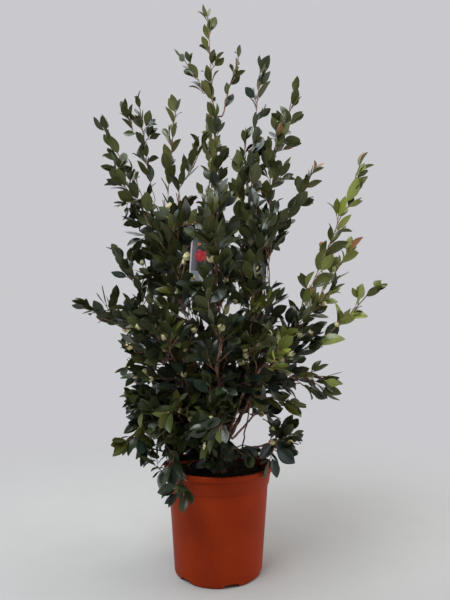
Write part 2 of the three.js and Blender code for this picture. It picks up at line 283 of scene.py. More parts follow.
def plastic_finish():
    """Moulded terracotta-coloured plastic, a little scuffed and dusty."""
    plastic = Finish("terracotta_plastic", 0.08)
    cloud = plastic.noise(14.0, 4.0, 0.55)
    flow = plastic.noise(30.0, 3.0, 0.5, (1.0, 1.0, 0.12))
    shade = plastic.mix(cloud.rise(0.3, 0.75), (0.265, 0.0245, 0.0032), (0.325, 0.032, 0.0045))
    shade = plastic.mix(flow.rise(0.55, 0.85) * 0.25, shade, (0.225, 0.019, 0.0025))
    dust = plastic.noise(220.0, 5.0, 0.7).rise(0.60, 0.85)
    low = plastic.along("Z").rise(0.05, 0.0)
    shade = plastic.mix(dust * 0.14 + low * dust * 0.4, shade, (0.34, 0.10, 0.045))
    scuffs = plastic.noise(55.0, 6.0, 0.65, (1.0, 1.0, 6.0)).rise(0.66, 0.8)
    shade = plastic.mix(scuffs * 0.2, shade, (0.42, 0.09, 0.035))
    height = plastic.noise(1400.0, 2.0) * 0.4 + scuffs * 0.3 + flow * 0.6
    return plastic.done(shade, 0.40 + cloud * 0.14 + scuffs * 0.15, height, 0.00025, 0.6)


def compost_finish(name, dark, light):
    """Damp peaty compost with paler fibres."""
    compost = Finish(name, 0.25)
    grain = compost.noise(320.0, 6.0, 0.7)
    fibres = compost.noise(120.0, 4.0, 0.6, (1.0, 0.25, 1.0)).rise(0.6, 0.8)
    shade = compost.mix(grain.rise(0.3, 0.75), dark, light)
    shade = compost.mix(fibres * 0.35, shade, (0.10, 0.055, 0.028))
    return compost.done(shade, 0.80 + grain * 0.18, grain, 0.0015, 1.0)


def rosette(card, centre, radius, ragged):
    """1 inside a ragged round flower on the card, 0 outside it."""
    off_side = card.uv("X") - centre[0]
    off_height = (card.uv("Y") - centre[1]) * 2.3
    reach = (off_side * off_side + off_height * off_height).root()
    return (reach + ragged * 0.14).rise(radius + 0.07, radius + 0.03)


def card_finish():
    """Glossy printed card: a dark field with rosettes, a lilac foot and side, and a pale edge."""
    card = Finish("printed_card", 0.5)
    across, up = card.uv("X"), card.uv("Y")
    shade = card.mix(card.noise(120.0).rise(0.4, 0.7), (0.012, 0.018, 0.014), (0.035, 0.055, 0.03))
    side = across.rise(0.36, 0.14) * up.rise(0.86, 0.6) * 0.8
    shade = card.mix(side, shade, (0.17, 0.155, 0.18))
    petals = card.node("ShaderNodeTexVoronoi", None, {"Vector": card.place(), "Scale": 150.0})
    red = card.mix(petals.rise(0.1, 0.6), (0.62, 0.045, 0.048), (0.36, 0.014, 0.022))
    for centre, radius, tint in (((0.45, 0.46), 0.27, red),
                                 ((0.56, 0.86), 0.12, (0.26, 0.018, 0.075)),
                                 ((0.34, 0.68), 0.10, (0.42, 0.14, 0.05))):
        shade = card.mix(rosette(card, centre, radius, petals), shade, tint)
    bars = (up * 130.0).sine().rise(0.2, 0.6) * across.rise(0.2, 0.22) * across.rise(0.8, 0.78)
    lilac = card.mix(bars * 0.4, (0.26, 0.25, 0.29), (0.15, 0.14, 0.18))
    shade = card.mix(up.rise(0.20, 0.18), shade, lilac)
    shade = card.mix(across.rise(0.07, 0.05), shade, (0.56, 0.52, 0.54))
    roughness = 0.26 + card.noise(200.0, 2.0) * 0.14
    return card.done(shade, roughness, card.noise(60.0, 2.0), 0.0003, 0.4)


BACKDROP = (0.585, 0.585, 0.61, 1.0)


def floor_finish():
    """Pale matt studio floor that fades into the backdrop away from the pot."""
    floor = Finish("studio_floor", 0.1)
    grain = floor.noise(9.0, 5.0, 0.6)
    shade = floor.mix(grain, (0.47, 0.455, 0.445), (0.52, 0.505, 0.49))
    floor.feed(floor.shader.inputs["Base Color"], shade)
    floor.feed(floor.shader.inputs["Roughness"], 0.75 + grain * 0.1)
    x, y = floor.along("X"), floor.along("Y")
    away = (x * x + y * y).root().rise(0.35, 1.5)
    far = floor.node("ShaderNodeEmission", None, {"Color": BACKDROP, "Strength": 1.0})
    near = Socket(floor, floor.shader.outputs[0])
    both = floor.node("ShaderNodeMixShader", None, {0: away, 1: near, 2: far})
    floor.feed(floor.tree.nodes["Material Output"].inputs["Surface"], both)
    return floor.material


# ---- Meshes
def plain_mesh(name, points, edges=(), faces=()):
    mesh = bpy.data.meshes.new(name)
    mesh.from_pydata([tuple(point) for point in points], edges, faces)
    return mesh


def mesh_from(name, shape):
    """A mesh from a bmesh that isn't needed any more."""
    mesh = bpy.data.meshes.new(name)
    shape.to_mesh(mesh)
    shape.free()
    return mesh


def closed_object(name, points, faces, material=None):
    """A new object from points and faces, with its normals turned outwards."""
    mesh = plain_mesh(name, points, faces=faces)
    if material:
        mesh.materials.append(material)
    shape = bmesh.new()
    shape.from_mesh(mesh)
    bmesh.ops.remove_doubles(shape, verts=shape.verts, dist=1e-6)
    bmesh.ops.recalc_face_normals(shape, faces=shape.faces)
    shape.to_mesh(mesh)
    shape.free()
    return linked(name, mesh)


def uv_object(name, points, faces, uvs):
    """A new smooth object whose faces already point outwards, with one UV place per vertex."""
    mesh = plain_mesh(name, points, faces=faces)
    mesh.shade_smooth()
    layer = mesh.uv_layers.new(name="UVMap")
    for loop in mesh.loops:
        layer.data[loop.index].uv = uvs[loop.vertex_index]
    return linked(name, mesh)


def applied(made):
    """Turns the evaluated result of an object's modifiers into its plain mesh."""
    bpy.context.view_layer.update()
    graph = bpy.context.evaluated_depsgraph_get()
    mesh = bpy.data.meshes.new_from_object(made.evaluated_get(graph))
    made.modifiers.clear()
    made.data = mesh
    return made


def ring_faces(first, second, count):
    """Quads between two closed rings of vertices that start at these numbers."""
    pairs = [(k, (k + 1) % count) for k in range(count)]
    return [(first + k, first + after, second + after, second + k) for k, after in pairs]


def lathe(name, profile, segments, material, sharp_turn):
    """A closed profile of (radius, height) pairs turned round the Z axis."""
    turns = [FULL_TURN * k / segments for k in range(segments)]
    points = [(radius * math.cos(turn), radius * math.sin(turn), height)
              for radius, height in profile for turn in turns]
    faces = []
    for row in range(len(profile) - 1):
        faces += ring_faces(row * segments, (row + 1) * segments, segments)
    for row in (0, len(profile) - 1):
        if profile[row][0] > 0:
            faces.append([row * segments + k for k in range(segments)])
    made = closed_object(name, points, faces, material)
    made.data.shade_smooth()
    made.data.set_sharp_from_angle(angle=math.radians(sharp_turn))
    return made


# ---- Measuring the frame
def node_shape(name):
    """A node's mesh with its loose triangles joined."""
    shape = bmesh.new()
    shape.from_mesh(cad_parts[name].data)
    bmesh.ops.remove_doubles(shape, verts=shape.verts, dist=1e-5)
    return shape


def axes_of(points):
    """The directions in which points lie widest, less wide and least wide."""
    return np.linalg.svd(points - points.mean(0), full_matrices=False)[2]


def far_ends(shape, start):
    """The two ends of a long shape, the one nearest to start first."""
    points = np.array([vertex.co for vertex in shape.verts])
    along = (points - points.mean(0)) @ axes_of(points)[0]
    ends = [Vector(points[abs(along - limit) < 0.04 * np.ptp(along)].mean(0))
            for limit in (along.min(), along.max())]
    return sorted(ends, key=lambda end: (end - start).length)


def cross_section(shape, place, direction):
    """The middle and the mean radius of the cut that a plane makes through a shape."""
    everything = [*shape.verts, *shape.edges, *shape.faces]
    cut = bmesh.ops.bisect_plane(shape, geom=everything, plane_co=place, plane_no=direction)
    rim = [item.co.copy() for item in cut["geom_cut"] if isinstance(item, bmesh.types.BMVert)]
    middle = sum(rim, Vector()) / len(rim)
    return middle, sum((point - middle).length for point in rim) / len(rim)


def measured_line(shape, ends, shares):
    """(middle, radius) of a long shape at these shares of the way from its first end."""
    foot, tip = ends
    run = tip - foot
    return [cross_section(shape, foot + run * share, run.normalized()) for share in shares]


SLENDER = 29 * MM  # a mass thinner than this is one shoot that carries its leaves itself
RAY = Vector((0.31, 0.17, 0.93)).normalized()


class Mass:
    """One foliage mass of the frame: its surface, and the line from its foot to its tip."""

    def __init__(self, name, heart):
        shape = node_shape(name)
        self.name = name
        self.surface = BVHTree.FromBMesh(shape)
        self.volume = abs(shape.calc_volume())
        self.foot, self.tip = far_ends(shape, heart)
        self.length = (self.tip - self.foot).length
        middles = measured_line(shape, (self.foot, self.tip), (0.2, 0.4, 0.6, 0.8))
        self.line = [self.foot, *[middle for middle, _ in middles], self.tip]
        self.slender = sum(radius for _, radius in middles) / len(middles) < SLENDER
        self.upright = (self.tip - self.foot).normalized().z > 0.6
        self.habit = "upright" if self.upright else "spreading"
        if self.slender:
            self.habit = "slender"
        self.young = name.startswith(("far_right", "right_leaf"))
        self.forked = name.startswith("left_fork")
        self.bare_foot = 0.3 if self.forked else 0.04
        points = np.array([vertex.co for vertex in shape.verts])
        self.low, self.high = Vector(points.min(0)), Vector(points.max(0))
        shape.free()

    def holds(self, place):
        """Whether a place is inside: a ray from there leaves the mass once more than it enters."""
        crossings = 0
        while (hit := self.surface.ray_cast(place, RAY)[0]) is not None:
            crossings += 1
            place = hit + RAY * 1e-5
        return crossings % 2 == 1

    def depth(self, place):
        """How far a place lies inside the surface, negative where it lies outside."""
        distance = self.surface.find_nearest(place)[3]
        return distance if self.holds(place) else -distance

    def room(self, place, heading):
        """How far it is to the surface from a place inside."""
        return self.surface.ray_cast(place, heading)[3] or 0.0


def in_box(place, low, high, spare=0.0):
    return all(low[k] - spare < place[k] < high[k] + spare for k in range(3))


def outside_crown(mass, place):
    """How far a place lies outside its own mass, and 0 where any mass of the crown holds it."""
    if any(in_box(place, other.low, other.high) and other.holds(place) for other in MASSES):
        return 0.0
    return mass.surface.find_nearest(place)[3]


# ---- Open places
# The gap right of the trunk, the notch in the crown's right side, the air over the left shoulder
# and the air under the low left spray.
GAP_LEFT, GAP_RIGHT = 30 * MM, 96 * MM
GAP_HEIGHT = 266 * MM
GAP_HALF = 30 * MM
NOTCH_LEFT = 92 * MM
NOTCH_HEIGHT = 612 * MM
NOTCH_HALF = 9 * MM
SHOULDER_HEIGHT = 735 * MM
SHOULDER_RIGHT, SHOULDER_BEND = -24 * MM, -62 * MM
SPRAY_RIGHT = -186 * MM
SPRAY_LOW, SPRAY_HIGH = 392 * MM, 478 * MM


def in_gap(place):
    """Whether a place is in the gap right of the trunk, which rises to the front over the rim."""
    middle = GAP_HEIGHT - 0.17 * place.y
    return GAP_LEFT < place.x < GAP_RIGHT and abs(place.z - middle) < GAP_HALF


def crosses_gap(mass, start, end):
    """Whether a twig would cross the gap, as only those of the spray beyond it may."""
    shares = (1.0,) if mass and mass.name == "rim_spray_right" else (0.4, 0.6, 0.8, 1.0)
    return any(in_gap(start.lerp(end, share)) for share in shares)


def in_notch(place):
    """Whether a place is in the notch that parts the crown's right side from its far sprays."""
    outward = place.x - NOTCH_LEFT - 0.08 * place.y
    middle = NOTCH_HEIGHT + 0.18 * place.y
    return outward > 0 and abs(place.z - middle) < NOTCH_HALF + 0.8 * outward


def over_shoulder(place):
    """Whether a place is in the air over the left shoulder, where only the forked shoots stand."""
    ceiling = SHOULDER_HEIGHT + 0.9 * max(0.0, place.x - SHOULDER_BEND)
    return place.x < SHOULDER_RIGHT and place.z > ceiling


def is_open(mass, place):
    """Whether a place is in the air that the crown leaves free."""
    if place.x < SPRAY_RIGHT and SPRAY_LOW < place.z < SPRAY_HIGH:
        return True
    return not mass.slender and (in_notch(place) or over_shoulder(place))


# ---- Growing
STEP = 8 * MM  # between the places of a stem
LEAST_ROOM = 20 * MM  # a side shoot needs this much before its mass's surface
LEAST_TWIG = 13 * MM
LEAF = 43 * MM  # a blade of size 1
PETIOLE = 5 * MM


def any_way(draws, amount=1):
    """A step in any direction."""
    return Vector([draws.uniform(-amount, amount) for _ in range(3)])


class Shoot:
    """A stem: its places, their girths, how many times it has branched, and its spray's tint."""

    def __init__(self, places, foot_girth, tip_girth, order, mass, tint=None):
        last = len(places) - 1
        shares = [1 - index / last for index in range(len(places))]
        self.places = places
        self.girths = [tip_girth + (foot_girth - tip_girth) * share**0.8 for share in shares]
        self.order = order
        self.mass = mass
        self.tint = tint
        steps = [(b - a).length for a, b in zip(places, places[1:])]
        self.length = sum(steps)
        self.travel = np.concatenate(([0.0], np.cumsum(steps)))

    def at(self, distance):
        """(place, direction, girth) at a distance along the stem."""
        index = int(np.searchsorted(self.travel, distance, side="right")) - 1
        index = min(max(index, 0), len(self.places) - 2)
        start, end = self.places[index], self.places[index + 1]
        share = (distance - self.travel[index]) / max((end - start).length, 1e-9)
        girth = self.girths[index] * (1 - share) + self.girths[index + 1] * share
        return start.lerp(end, share), (end - start).normalized(), girth

    def spots(self, start=0.0):
        """(place, direction, girth, shoot) along the stem, for others to spring from."""
        return [(*self.at(distance), self) for distance in np.arange(start, self.length, STEP)]

    def habit(self):
        """How the mass of the shoot grows; a loose twig spreads."""
        return self.mass.habit if self.mass else "spreading"

    def has(self, trait):
        """Whether the mass of the shoot has a trait; a loose twig has no mass."""
        return bool(self.mass and getattr(self.mass, trait))


def smooth_run(knots, step=STEP):
    """Places about a step apart on a smooth curve through the knots."""
    padded = [2 * knots[0] - knots[1], *knots, 2 * knots[-1] - knots[-2]]
    run = []
    for before, start, end, after in zip(padded, padded[1:], padded[2:], padded[3:]):
        count = max(1, round((end - start).length / step))
        for index in range(count):
            t = index / count
            curve = 2 * start + (end - before) * t
            curve += (2 * before - 5 * start + 4 * end - after) * t * t
            curve += (3 * start - before - 3 * end + after) * t**3
            run.append(curve / 2)
    return [*run, knots[-1]]


def leaning(direction, turn, lean):
    """The direction that leaves a stem at an angle to it, on the side that turn gives."""
    first = direction.cross(UP if abs(direction.z) < 0.95 else Vector((1, 0, 0))).normalized()
    second = direction.cross(first).normalized()
    across = first * math.cos(turn) + second * math.sin(turn)
    return (direction * math.cos(lean) + across * math.sin(lean)).normalized()


def wandering(places, amount, draws):
    """The same run with its inner places moved a little, as a twig's joints are."""
    inner = [place + any_way(draws, amount) for place in places[1:-1]]
    return [places[0], *inner, places[-1]]


def limb_lines():
    """The limbs as runs of (middle, radius): the trunk's to its top, each bough's from there."""
    low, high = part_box("trunk")
    trunk = node_shape("trunk")
    levels = [low.z + (high.z - low.z) * share for share in (0.02, 0.12, 0.3, 0.55, 0.8, 0.97)]
    stem = [cross_section(trunk, Vector((0, 0, level)), UP) for level in levels]
    lines = {"trunk": stem}
    fork, fork_radius = stem[-1]
    for name in BOUGH_NODES:
        shape = node_shape(name)
        ends = far_ends(shape, fork)
        sections = measured_line(shape, ends, (0.25, 0.4, 0.55, 0.7, 0.85, 0.97))
        start = (fork - UP * 6 * MM, min(sections[0][1] * 1.15, fork_radius))
        lines[name] = [start, *sections]
    return lines


LIMBS = limb_lines()
FORK = LIMBS["trunk"][-1][0]
MASSES = [Mass(name, FORK) for name in MASS_NODES]
MASSES.sort(key=lambda mass: (mass.foot - FORK).length)


def bough_shoots():
    """Each bough as a stem, by the name of the mass that its end runs into."""
    shoots = {}
    for name in BOUGH_NODES:
        line = LIMBS[name]
        places = smooth_run([middle for middle, _ in line])
        free = [mass for mass in MASSES if mass.name not in shoots]
        mass = max(free, key=lambda each: each.depth(places[-1]))
        shoots[mass.name] = Shoot(places, line[1][1], line[-1][1], 0, None)
    return shoots


CREST_SHIFT = Vector((-20, 0, 0)) * MM  # the crest's stem stands further in than its mass


def leader_start(mass, spots, bough):
    """Where a mass's main stem springs from, and the knots that it runs on through."""
    if bough:
        start, direction, girth = bough.at(bough.length - 4 * MM)
        ahead = [(place - start).dot(mass.tip - mass.foot) for place in mass.line]
        least = 0.15 * mass.length**2
        return start, direction, girth, [p for p, far in zip(mass.line, ahead) if far > least]
    foot = mass.foot.lerp(mass.line[1], 0.3)
    heading = (mass.tip - mass.foot).normalized()

    def cost(spot):
        gap = foot - spot[0]
        turn = 1 - gap.normalized().dot(heading) if gap.length > 4 * MM else 0
        return gap.length * (1 + 0.5 * turn) + (0.5 - min(spot[2], 0.5)) * MM

    start, direction, girth, _ = min(spots, key=cost)
    near = (foot - start).length <= 12 * MM
    return start, direction, girth, mass.line[1:] if near else [foot, *mass.line[1:]]


def leader_of(mass, spots, draws, bough):
    """The main stem of a mass: from its bough's end, or from the best stem near its foot."""
    start, direction, girth, knots = leader_start(mass, spots, bough)
    if mass.name == "crest":
        knots = [knot + CREST_SHIFT for knot in knots]
    tip_gap = LEAF * (0.75 if mass.slender else 0.9)
    end = knots[-1] + (knots[-2] - knots[-1]).normalized() * tip_gap
    while is_open(mass, end):
        end = end.lerp(knots[-2], 0.15)
    if len(knots) > 2 and (end - knots[-2]).length < 25 * MM:
        knots.pop(-2)
    away = start + direction * 12 * MM
    run = smooth_run([start, away.lerp(knots[0], 0.35), *knots[:-1], end])
    foot_girth = min(girth * 0.92, 1.5 * MM + (end - start).length * 0.010)
    tip_girth = 1.15 * MM if mass.slender else max(1.15 * MM, 0.6 * foot_girth)
    return Shoot(wandering(run, 0.8 * MM, draws), foot_girth, tip_girth, 1, mass)


def twig_between(spot, end, draws):
    """A side shoot that springs from a spot of its parent and curves up to its end."""
    place, direction, girth, parent = spot
    gap = end - place
    length = gap.length
    bend = direction * 0.16 - UP * draws.uniform(0.02, 0.10)
    knots = [place, place + gap * 0.45 + bend * length * 0.5, end]
    foot_girth = min(girth * 0.85, 1.0 * MM + length * 0.009)
    tint = parent.tint or spray_tint(parent.mass, end, draws)
    run = wandering(smooth_run(knots), 0.7 * MM, draws)
    tip_girth = min(foot_girth, 0.85 * MM)
    return Shoot(run, foot_girth, tip_girth, parent.order + 1, parent.mass, tint)


def side_shoots(parent, spacing, start, leans, reaches, draws):
    """Shoots that leave a stem by the golden turn and reach for their mass's surface."""
    mass = parent.mass
    turn = draws.uniform(0, FULL_TURN)
    distance = start
    found = []
    while distance < parent.length - 8 * MM:
        place, direction, girth = parent.at(distance)
        distance += spacing * draws.uniform(0.75, 1.25)
        turn += GOLDEN_TURN + draws.uniform(-0.3, 0.3)
        if not mass.holds(place):
            continue
        lean = math.radians(draws.uniform(*leans))
        heading = (leaning(direction, turn, lean) + UP * (0.2 if mass.upright else 0)).normalized()
        room = mass.room(place, heading)
        length = room * draws.uniform(*reaches) - LEAF * 0.5
        end = place + heading * max(length, LEAST_TWIG)
        if room > LEAST_ROOM and not crosses_gap(mass, place, end) and not is_open(mass, end):
            found.append(twig_between((place, direction, girth, parent), end, draws))
    return found


FILL_CELL = 18 * MM  # a twig is tried for in each cube of this side
FILL_REACH = 95 * MM
FULL_SPRAYS = ("crest", "right_spire_outer", "rim_spray_right")
FULL_SIDE = -118 * MM  # the crown's left side is full beyond this
CREST_MIDDLE = 70 * MM  # the crest is full on its inner side


def takes_filling(mass, target, spare):
    """Whether a place in a mass is one that the crown shows filled."""
    if not mass.holds(target) or mass.depth(target) < spare or is_open(mass, target):
        return False
    if mass.name == "crest" and target.x > CREST_MIDDLE:
        return False
    return not mass.upright or mass.name in FULL_SPRAYS or target.x <= FULL_SIDE


def filling_twigs(mass, shoots, draws):
    """Twigs from the nearest stems into the parts of a mass that nothing has reached."""
    spots = [spot for shoot in shoots for spot in shoot.spots(4 * MM)]
    spare, gap = (5 * MM, 9 * MM) if mass.slender else (10 * MM, 15 * MM)
    found = []
    for _ in range(int(mass.volume / FILL_CELL**3)):
        target = Vector([draws.uniform(mass.low[k], mass.high[k]) for k in range(3)])
        if not takes_filling(mass, target, spare):
            continue
        gaps = np.array(target) - np.array([spot[0] for spot in spots])
        distances = np.linalg.norm(gaps, axis=1)
        if not gap < distances.min() < FILL_REACH:
            continue
        ahead = np.einsum("ij,ij->i", gaps, np.array([spot[1] for spot in spots])) / distances
        below = np.maximum(0, -gaps[:, 2])
        cost = distances * (1 + 0.9 * abs(ahead - 0.62)) + below * (0.8 if mass.upright else 0.1)
        spot = spots[int(cost.argmin())]
        if not crosses_gap(mass, spot[0], target):
            found.append(twig_between(spot, target, draws))
            spots += found[-1].spots(6 * MM)
    return found


# How often each tint comes in a part of the crown.
YOUNG_RIGHT = {"dark": 1.2, "mid": 2.4, "olive": 3, "bright": 5}
FORKED_LEFT = {"dark": 3, "mid": 4, "olive": 3, "bright": 0.4}
HIGH = {"deep": 0.8, "dark": 3, "mid": 4, "olive": 3.2, "bright": 0.3}
MIDDLE = {"deep": 5.2, "dark": 4.5, "mid": 1.8, "olive": 0.9, "bright": 0.15}
MIDDLE_RIGHT = {"deep": 3.6, "dark": 3.8, "mid": 2.2, "olive": 1.5, "bright": 0.5}
LOW = {"deep": 4.5, "dark": 3.5, "mid": 1.9, "olive": 1.2, "bright": 0.15}
HIGH_SHARE, MIDDLE_SHARE = 0.6, 0.34  # of the whole height


def one_of(weights, draws):
    """One of the names, as often as its weight says."""
    return draws.choices(list(weights), list(weights.values()))[0]


def spray_tint(mass, place, draws):
    """The tint of a spray: dark low down, greener above, yellow on the young right side."""
    height = (place.z - cad_low.z) / (cad_high.z - cad_low.z)
    weights = LOW
    if mass.young:
        weights = YOUNG_RIGHT
    elif mass.forked:
        weights = FORKED_LEFT
    elif height > HIGH_SHARE:
        weights = HIGH
    elif height > MIDDLE_SHARE:
        weights = MIDDLE_RIGHT if place.x > 40 * MM else MIDDLE
    return one_of(weights, draws)


# How a leader's side shoots come: their spacing, their leans in degrees and their reaches.
SIDE_HABITS = {
    "slender": (34 * MM, (24, 42), (0.8, 1.0)),
    "upright": (18 * MM, (24, 46), (0.8, 1.02)),
    "spreading": (13 * MM, (38, 66), (0.75, 1.04)),
}
FORK_SPACING = 62 * MM


def grown_shoots():
    """Every leafy stem of the shrub, leaders before their side shoots."""
    boughs = bough_shoots()
    spots = [spot for bough in boughs.values() for spot in bough.spots(30 * MM)]
    shoots = []
    for mass in sorted(MASSES, key=lambda each: each.name not in boughs):
        draws = random.Random(f"{SEED} {mass.name}")
        leader = leader_of(mass, spots, draws, boughs.get(mass.name))
        leader.tint = spray_tint(mass, leader.places[-1], draws) if mass.slender else None
        spots += leader.spots()
        first = max(0.0, leader.length - mass.length) + (mass.bare_foot + 0.02) * mass.length
        spacing, leans, reaches = SIDE_HABITS[mass.habit]
        if mass.slender:
            first += 20 * MM
            spacing = FORK_SPACING if mass.forked else spacing
        laterals = side_shoots(leader, spacing, first, leans, reaches, draws)
        for lateral in laterals:
            spots += lateral.spots(10 * MM)
        grown = [leader, *laterals]
        spacing = (31 if mass.upright else 22) * MM
        for lateral in laterals:
            if lateral.length > 42 * MM:
                grown += side_shoots(lateral, spacing, 14 * MM, (30, 56), (0.5, 0.95), draws)
        shoots += grown + filling_twigs(mass, grown, draws)
    return shoots


def inner_twigs(seed, count, girth, origins, heights, reaches):
    """Twigs from the boughs' lower parts, into the room over the compost and round the boughs."""
    draws = random.Random(f"{SEED} {seed}")
    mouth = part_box("pot")[1].z
    found = []
    for number in range(count):
        line = LIMBS[BOUGH_NODES[number % len(BOUGH_NODES)]]
        start = line[0][0].lerp(line[-2][0], draws.uniform(*origins))
        turn = number * GOLDEN_TURN + draws.uniform(-0.3, 0.3)
        across = Vector((math.cos(turn), math.sin(turn), 0)) * draws.uniform(*reaches) * MM
        end = Vector((0, 0, mouth + draws.uniform(*heights) * MM)) + across
        if crosses_gap(None, start, end):
            continue
        knots = [start, start.lerp(end, 0.5) + UP * draws.uniform(-4, 14) * MM, end]
        run = wandering(smooth_run(knots, 10 * MM), 1.8 * MM, draws)
        tint = draws.choice(("deep", "deep", "dark"))
        found.append(Shoot(run, girth, 0.7 * MM, 3, None, tint))
    return found


def loose_twig(spots, end, away, tint, draws):
    """A twig of no mass, from the spot whose distance to its end is nearest to away."""
    spot = min(spots, key=lambda each: abs((each[0] - end).length - away))
    twig = twig_between(spot, end, draws)
    twig.mass, twig.tint = None, tint
    return twig


def reaching_twigs(shoots, ends, tint):
    """Twigs from the nearest stems out to places that no mass's own twigs reach."""
    draws = random.Random(f"{SEED} reaching {tint}")
    spots = [spot for shoot in shoots for spot in shoot.spots(10 * MM)]
    return [loose_twig(spots, Vector(end) * MM, 40 * MM, tint, draws) for end in ends]


# ---- What leaves and twigs keep clear of
POT_LOW, POT_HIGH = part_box("pot")
SIDE_SPARE, RIM_SPARE = 4.5 * MM, 7 * MM


def clear_of_pot(place):
    """Whether a place is outside the pot, with a little to spare."""
    wide = math.hypot(place.x, place.y) > POT_HIGH.x + SIDE_SPARE
    return wide or place.z > POT_HIGH.z + RIM_SPARE


LIMB_SPOTS = [(spot, radius) for line in LIMBS.values()
              for (start, radius), (end, _) in zip(line, line[1:])
              for spot in smooth_run([start, end], 4 * MM)]
LIMB_PLACES = np.array([tuple(spot) for spot, _ in LIMB_SPOTS])
LIMB_RADII = np.array([radius for _, radius in LIMB_SPOTS])


def in_limb(place, spare=2 * MM):
    """Whether a place is inside the trunk or a bough, or nearly touches it."""
    gaps = np.linalg.norm(LIMB_PLACES - np.array(place), axis=1)
    return bool((gaps < LIMB_RADII + spare).any())


CARD_HEIGHT = 100 * MM
CARD_CORNER = 6 * MM
CARD_SHOULDER = 34 * MM
CARD_COLUMNS = 12
CARD_HALF_THICKNESS = 0.35 * MM
CARD_SPARE = 6 * MM
STRAP_WIDTH = 6 * MM
PICTURE_FOOT, PICTURE_MIDDLE = 26 * MM, 58 * MM  # of the flower on the card


class Card:
    """Where the label hangs: its foot, its own three directions, half its width and its length."""

    def __init__(self):
        points = np.array([vertex.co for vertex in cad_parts["hanging_label"].data.vertices])
        centre = (points.min(0) + points.max(0)) / 2
        up, side, _ = axes_of(points)
        self.up = Vector(up * np.sign(up[2]))
        self.side = Vector(side * np.sign(side[0]))
        self.front = self.side.cross(self.up)
        along = (points - centre) @ np.array(self.up)
        across = (points - centre) @ np.array(self.side)
        middle = (across.min() + across.max()) / 2
        self.foot = Vector(centre) + self.up * along.min() + self.side * middle
        self.wide = np.ptp(across) / 2 - 0.3 * MM
        self.total = np.ptp(along)

    def spot(self, place):
        """How far a place is along, across and in front of the card, from its foot."""
        gap = place - self.foot
        return gap.dot(self.up), gap.dot(self.side), gap.dot(self.front)

    def spoilt_by(self, place):
        """Whether a leaf here would cut through the label, or hide its left side or its flower."""
        along, across, ahead = self.spot(place)
        over = abs(across) < self.wide + CARD_SPARE and -CARD_SPARE < along < CARD_HEIGHT
        by_strap = abs(across) < 9 * MM and CARD_HEIGHT - 4 * MM < along < self.total
        cuts = (over or by_strap) and abs(ahead) < 7 * MM
        open_to = (8 if along < PICTURE_MIDDLE else -2) * MM
        hides = over and ahead > 0 and across < open_to and along > PICTURE_FOOT
        return cuts or hides

    def cut_by(self, start, end):
        """Whether a straight twig would pass through the label."""
        behind, ahead = self.spot(start)[2], self.spot(end)[2]
        if behind * ahead >= 0:
            return False
        along, across, _ = self.spot(start.lerp(end, behind / (behind - ahead)))
        beside = abs(across) < self.wide + CARD_SPARE
        return beside and -CARD_SPARE < along < self.total + CARD_SPARE


CARD = Card()
# Where twigs end in front of the label's right side and top: millimetres up, across and before.
OVER_LABEL = ((34, 24, 12), (62, 18, 15), (96, 8, 11), (104, -16, 9), (10, 10, 12), (2, -8, 14),
              (80, 22, 12))


def twigs_over_label(shoots):
    """Twigs that cross in front of the label, as it hangs among the leaves."""
    draws = random.Random(f"{SEED} label")
    spots = [spot for shoot in shoots for spot in shoot.spots(10 * MM)]
    found = []
    for up, side, ahead in OVER_LABEL:
        end = CARD.foot + (CARD.up * up + CARD.side * side + CARD.front * ahead) * MM
        free = [spot for spot in spots if not CARD.cut_by(spot[0], end)]
        found.append(loose_twig(free, end, 0.0, "dark", draws))
    return found


# ---- Leaves and buds on the shoots
LEAF_MOULDS = 8
RELEAF = {"deep": "dark", "dark": "mid", "mid": "dark", "olive": "mid", "bright": "mid"}
# How far apart the leaves stand, against the leaves of a spreading shoot.
LEAF_SPACING = {"slender": 1.35, "upright": 1.36, "spreading": 1.0}
YOUNG_SPACING = 2.5
LEAF_LEANS = {"slender": (16, 36), "upright": (20, 46), "spreading": (30, 62)}
AIRY_HEIGHT, AIRY_TIP = 0.66, 0.88  # above these heights the leaves stand further apart
LEAF_REACH = PETIOLE + LEAF * 0.92  # of a leaf of size 1, from its foot
TIP_EXCESS = 11 * MM  # a leaf that reaches further than this out of the crown is made smaller
TIP_LIMIT = 16 * MM  # and one that still reaches further than this is left out
SMALLEST_SHARE = 0.66
OWN_TINT = 0.74  # how many leaves have their spray's tint
BUD_SHARES = (5, 4, 1)  # of the fat, the slim and the small flower buds
BUD_HEIGHT = 0.6  # below it, and nearer to a shoot's end than to its foot, axils carry buds
LOW_BUDS, HIGH_BUDS, END_BUDS = 0.24, 0.015, 0.22  # how many axils and shoots' ends carry one
BUD_ROOM = 8 * MM


class Spread:
    """Places for copies of small moulds: where, how turned, how large, which mould and tone."""

    def __init__(self):
        self.rows = []

    def add(self, place, heading, facing, size, mould, tone):
        side = heading.cross(facing).normalized()
        turned = Matrix((side, heading, side.cross(heading))).transposed()
        self.rows.append((place, tuple(turned.to_euler()), size, mould, tone))


def leaf_heading(shoot, place, direction, turn, draws):
    """Where a leaf points and faces: up and out from its shoot, turned to the light."""
    outward = Vector((place.x, place.y, 0))
    outward = outward.normalized() if outward.length > 5 * MM else Vector((0, 0, 0))
    lean = math.radians(draws.uniform(*LEAF_LEANS[shoot.habit()]))
    lift = UP * (0.16 if shoot.has("upright") else 0.04)
    heading = leaning(direction, turn, lean) + outward * 0.16 + lift
    facing = direction * 0.55 + UP * 0.5 + outward * 0.25 + any_way(draws) * 0.42
    return heading.normalized(), facing


def airiness(shoot, place):
    """How much further apart the leaves stand where the crown's top lets the sky through."""
    if shoot.has("slender"):
        return 1.5 if place.z > AIRY_TIP and place.x > -60 * MM else 1.0
    return 1.3 if shoot.has("upright") and place.z > AIRY_HEIGHT and place.x < 0 else 1.0


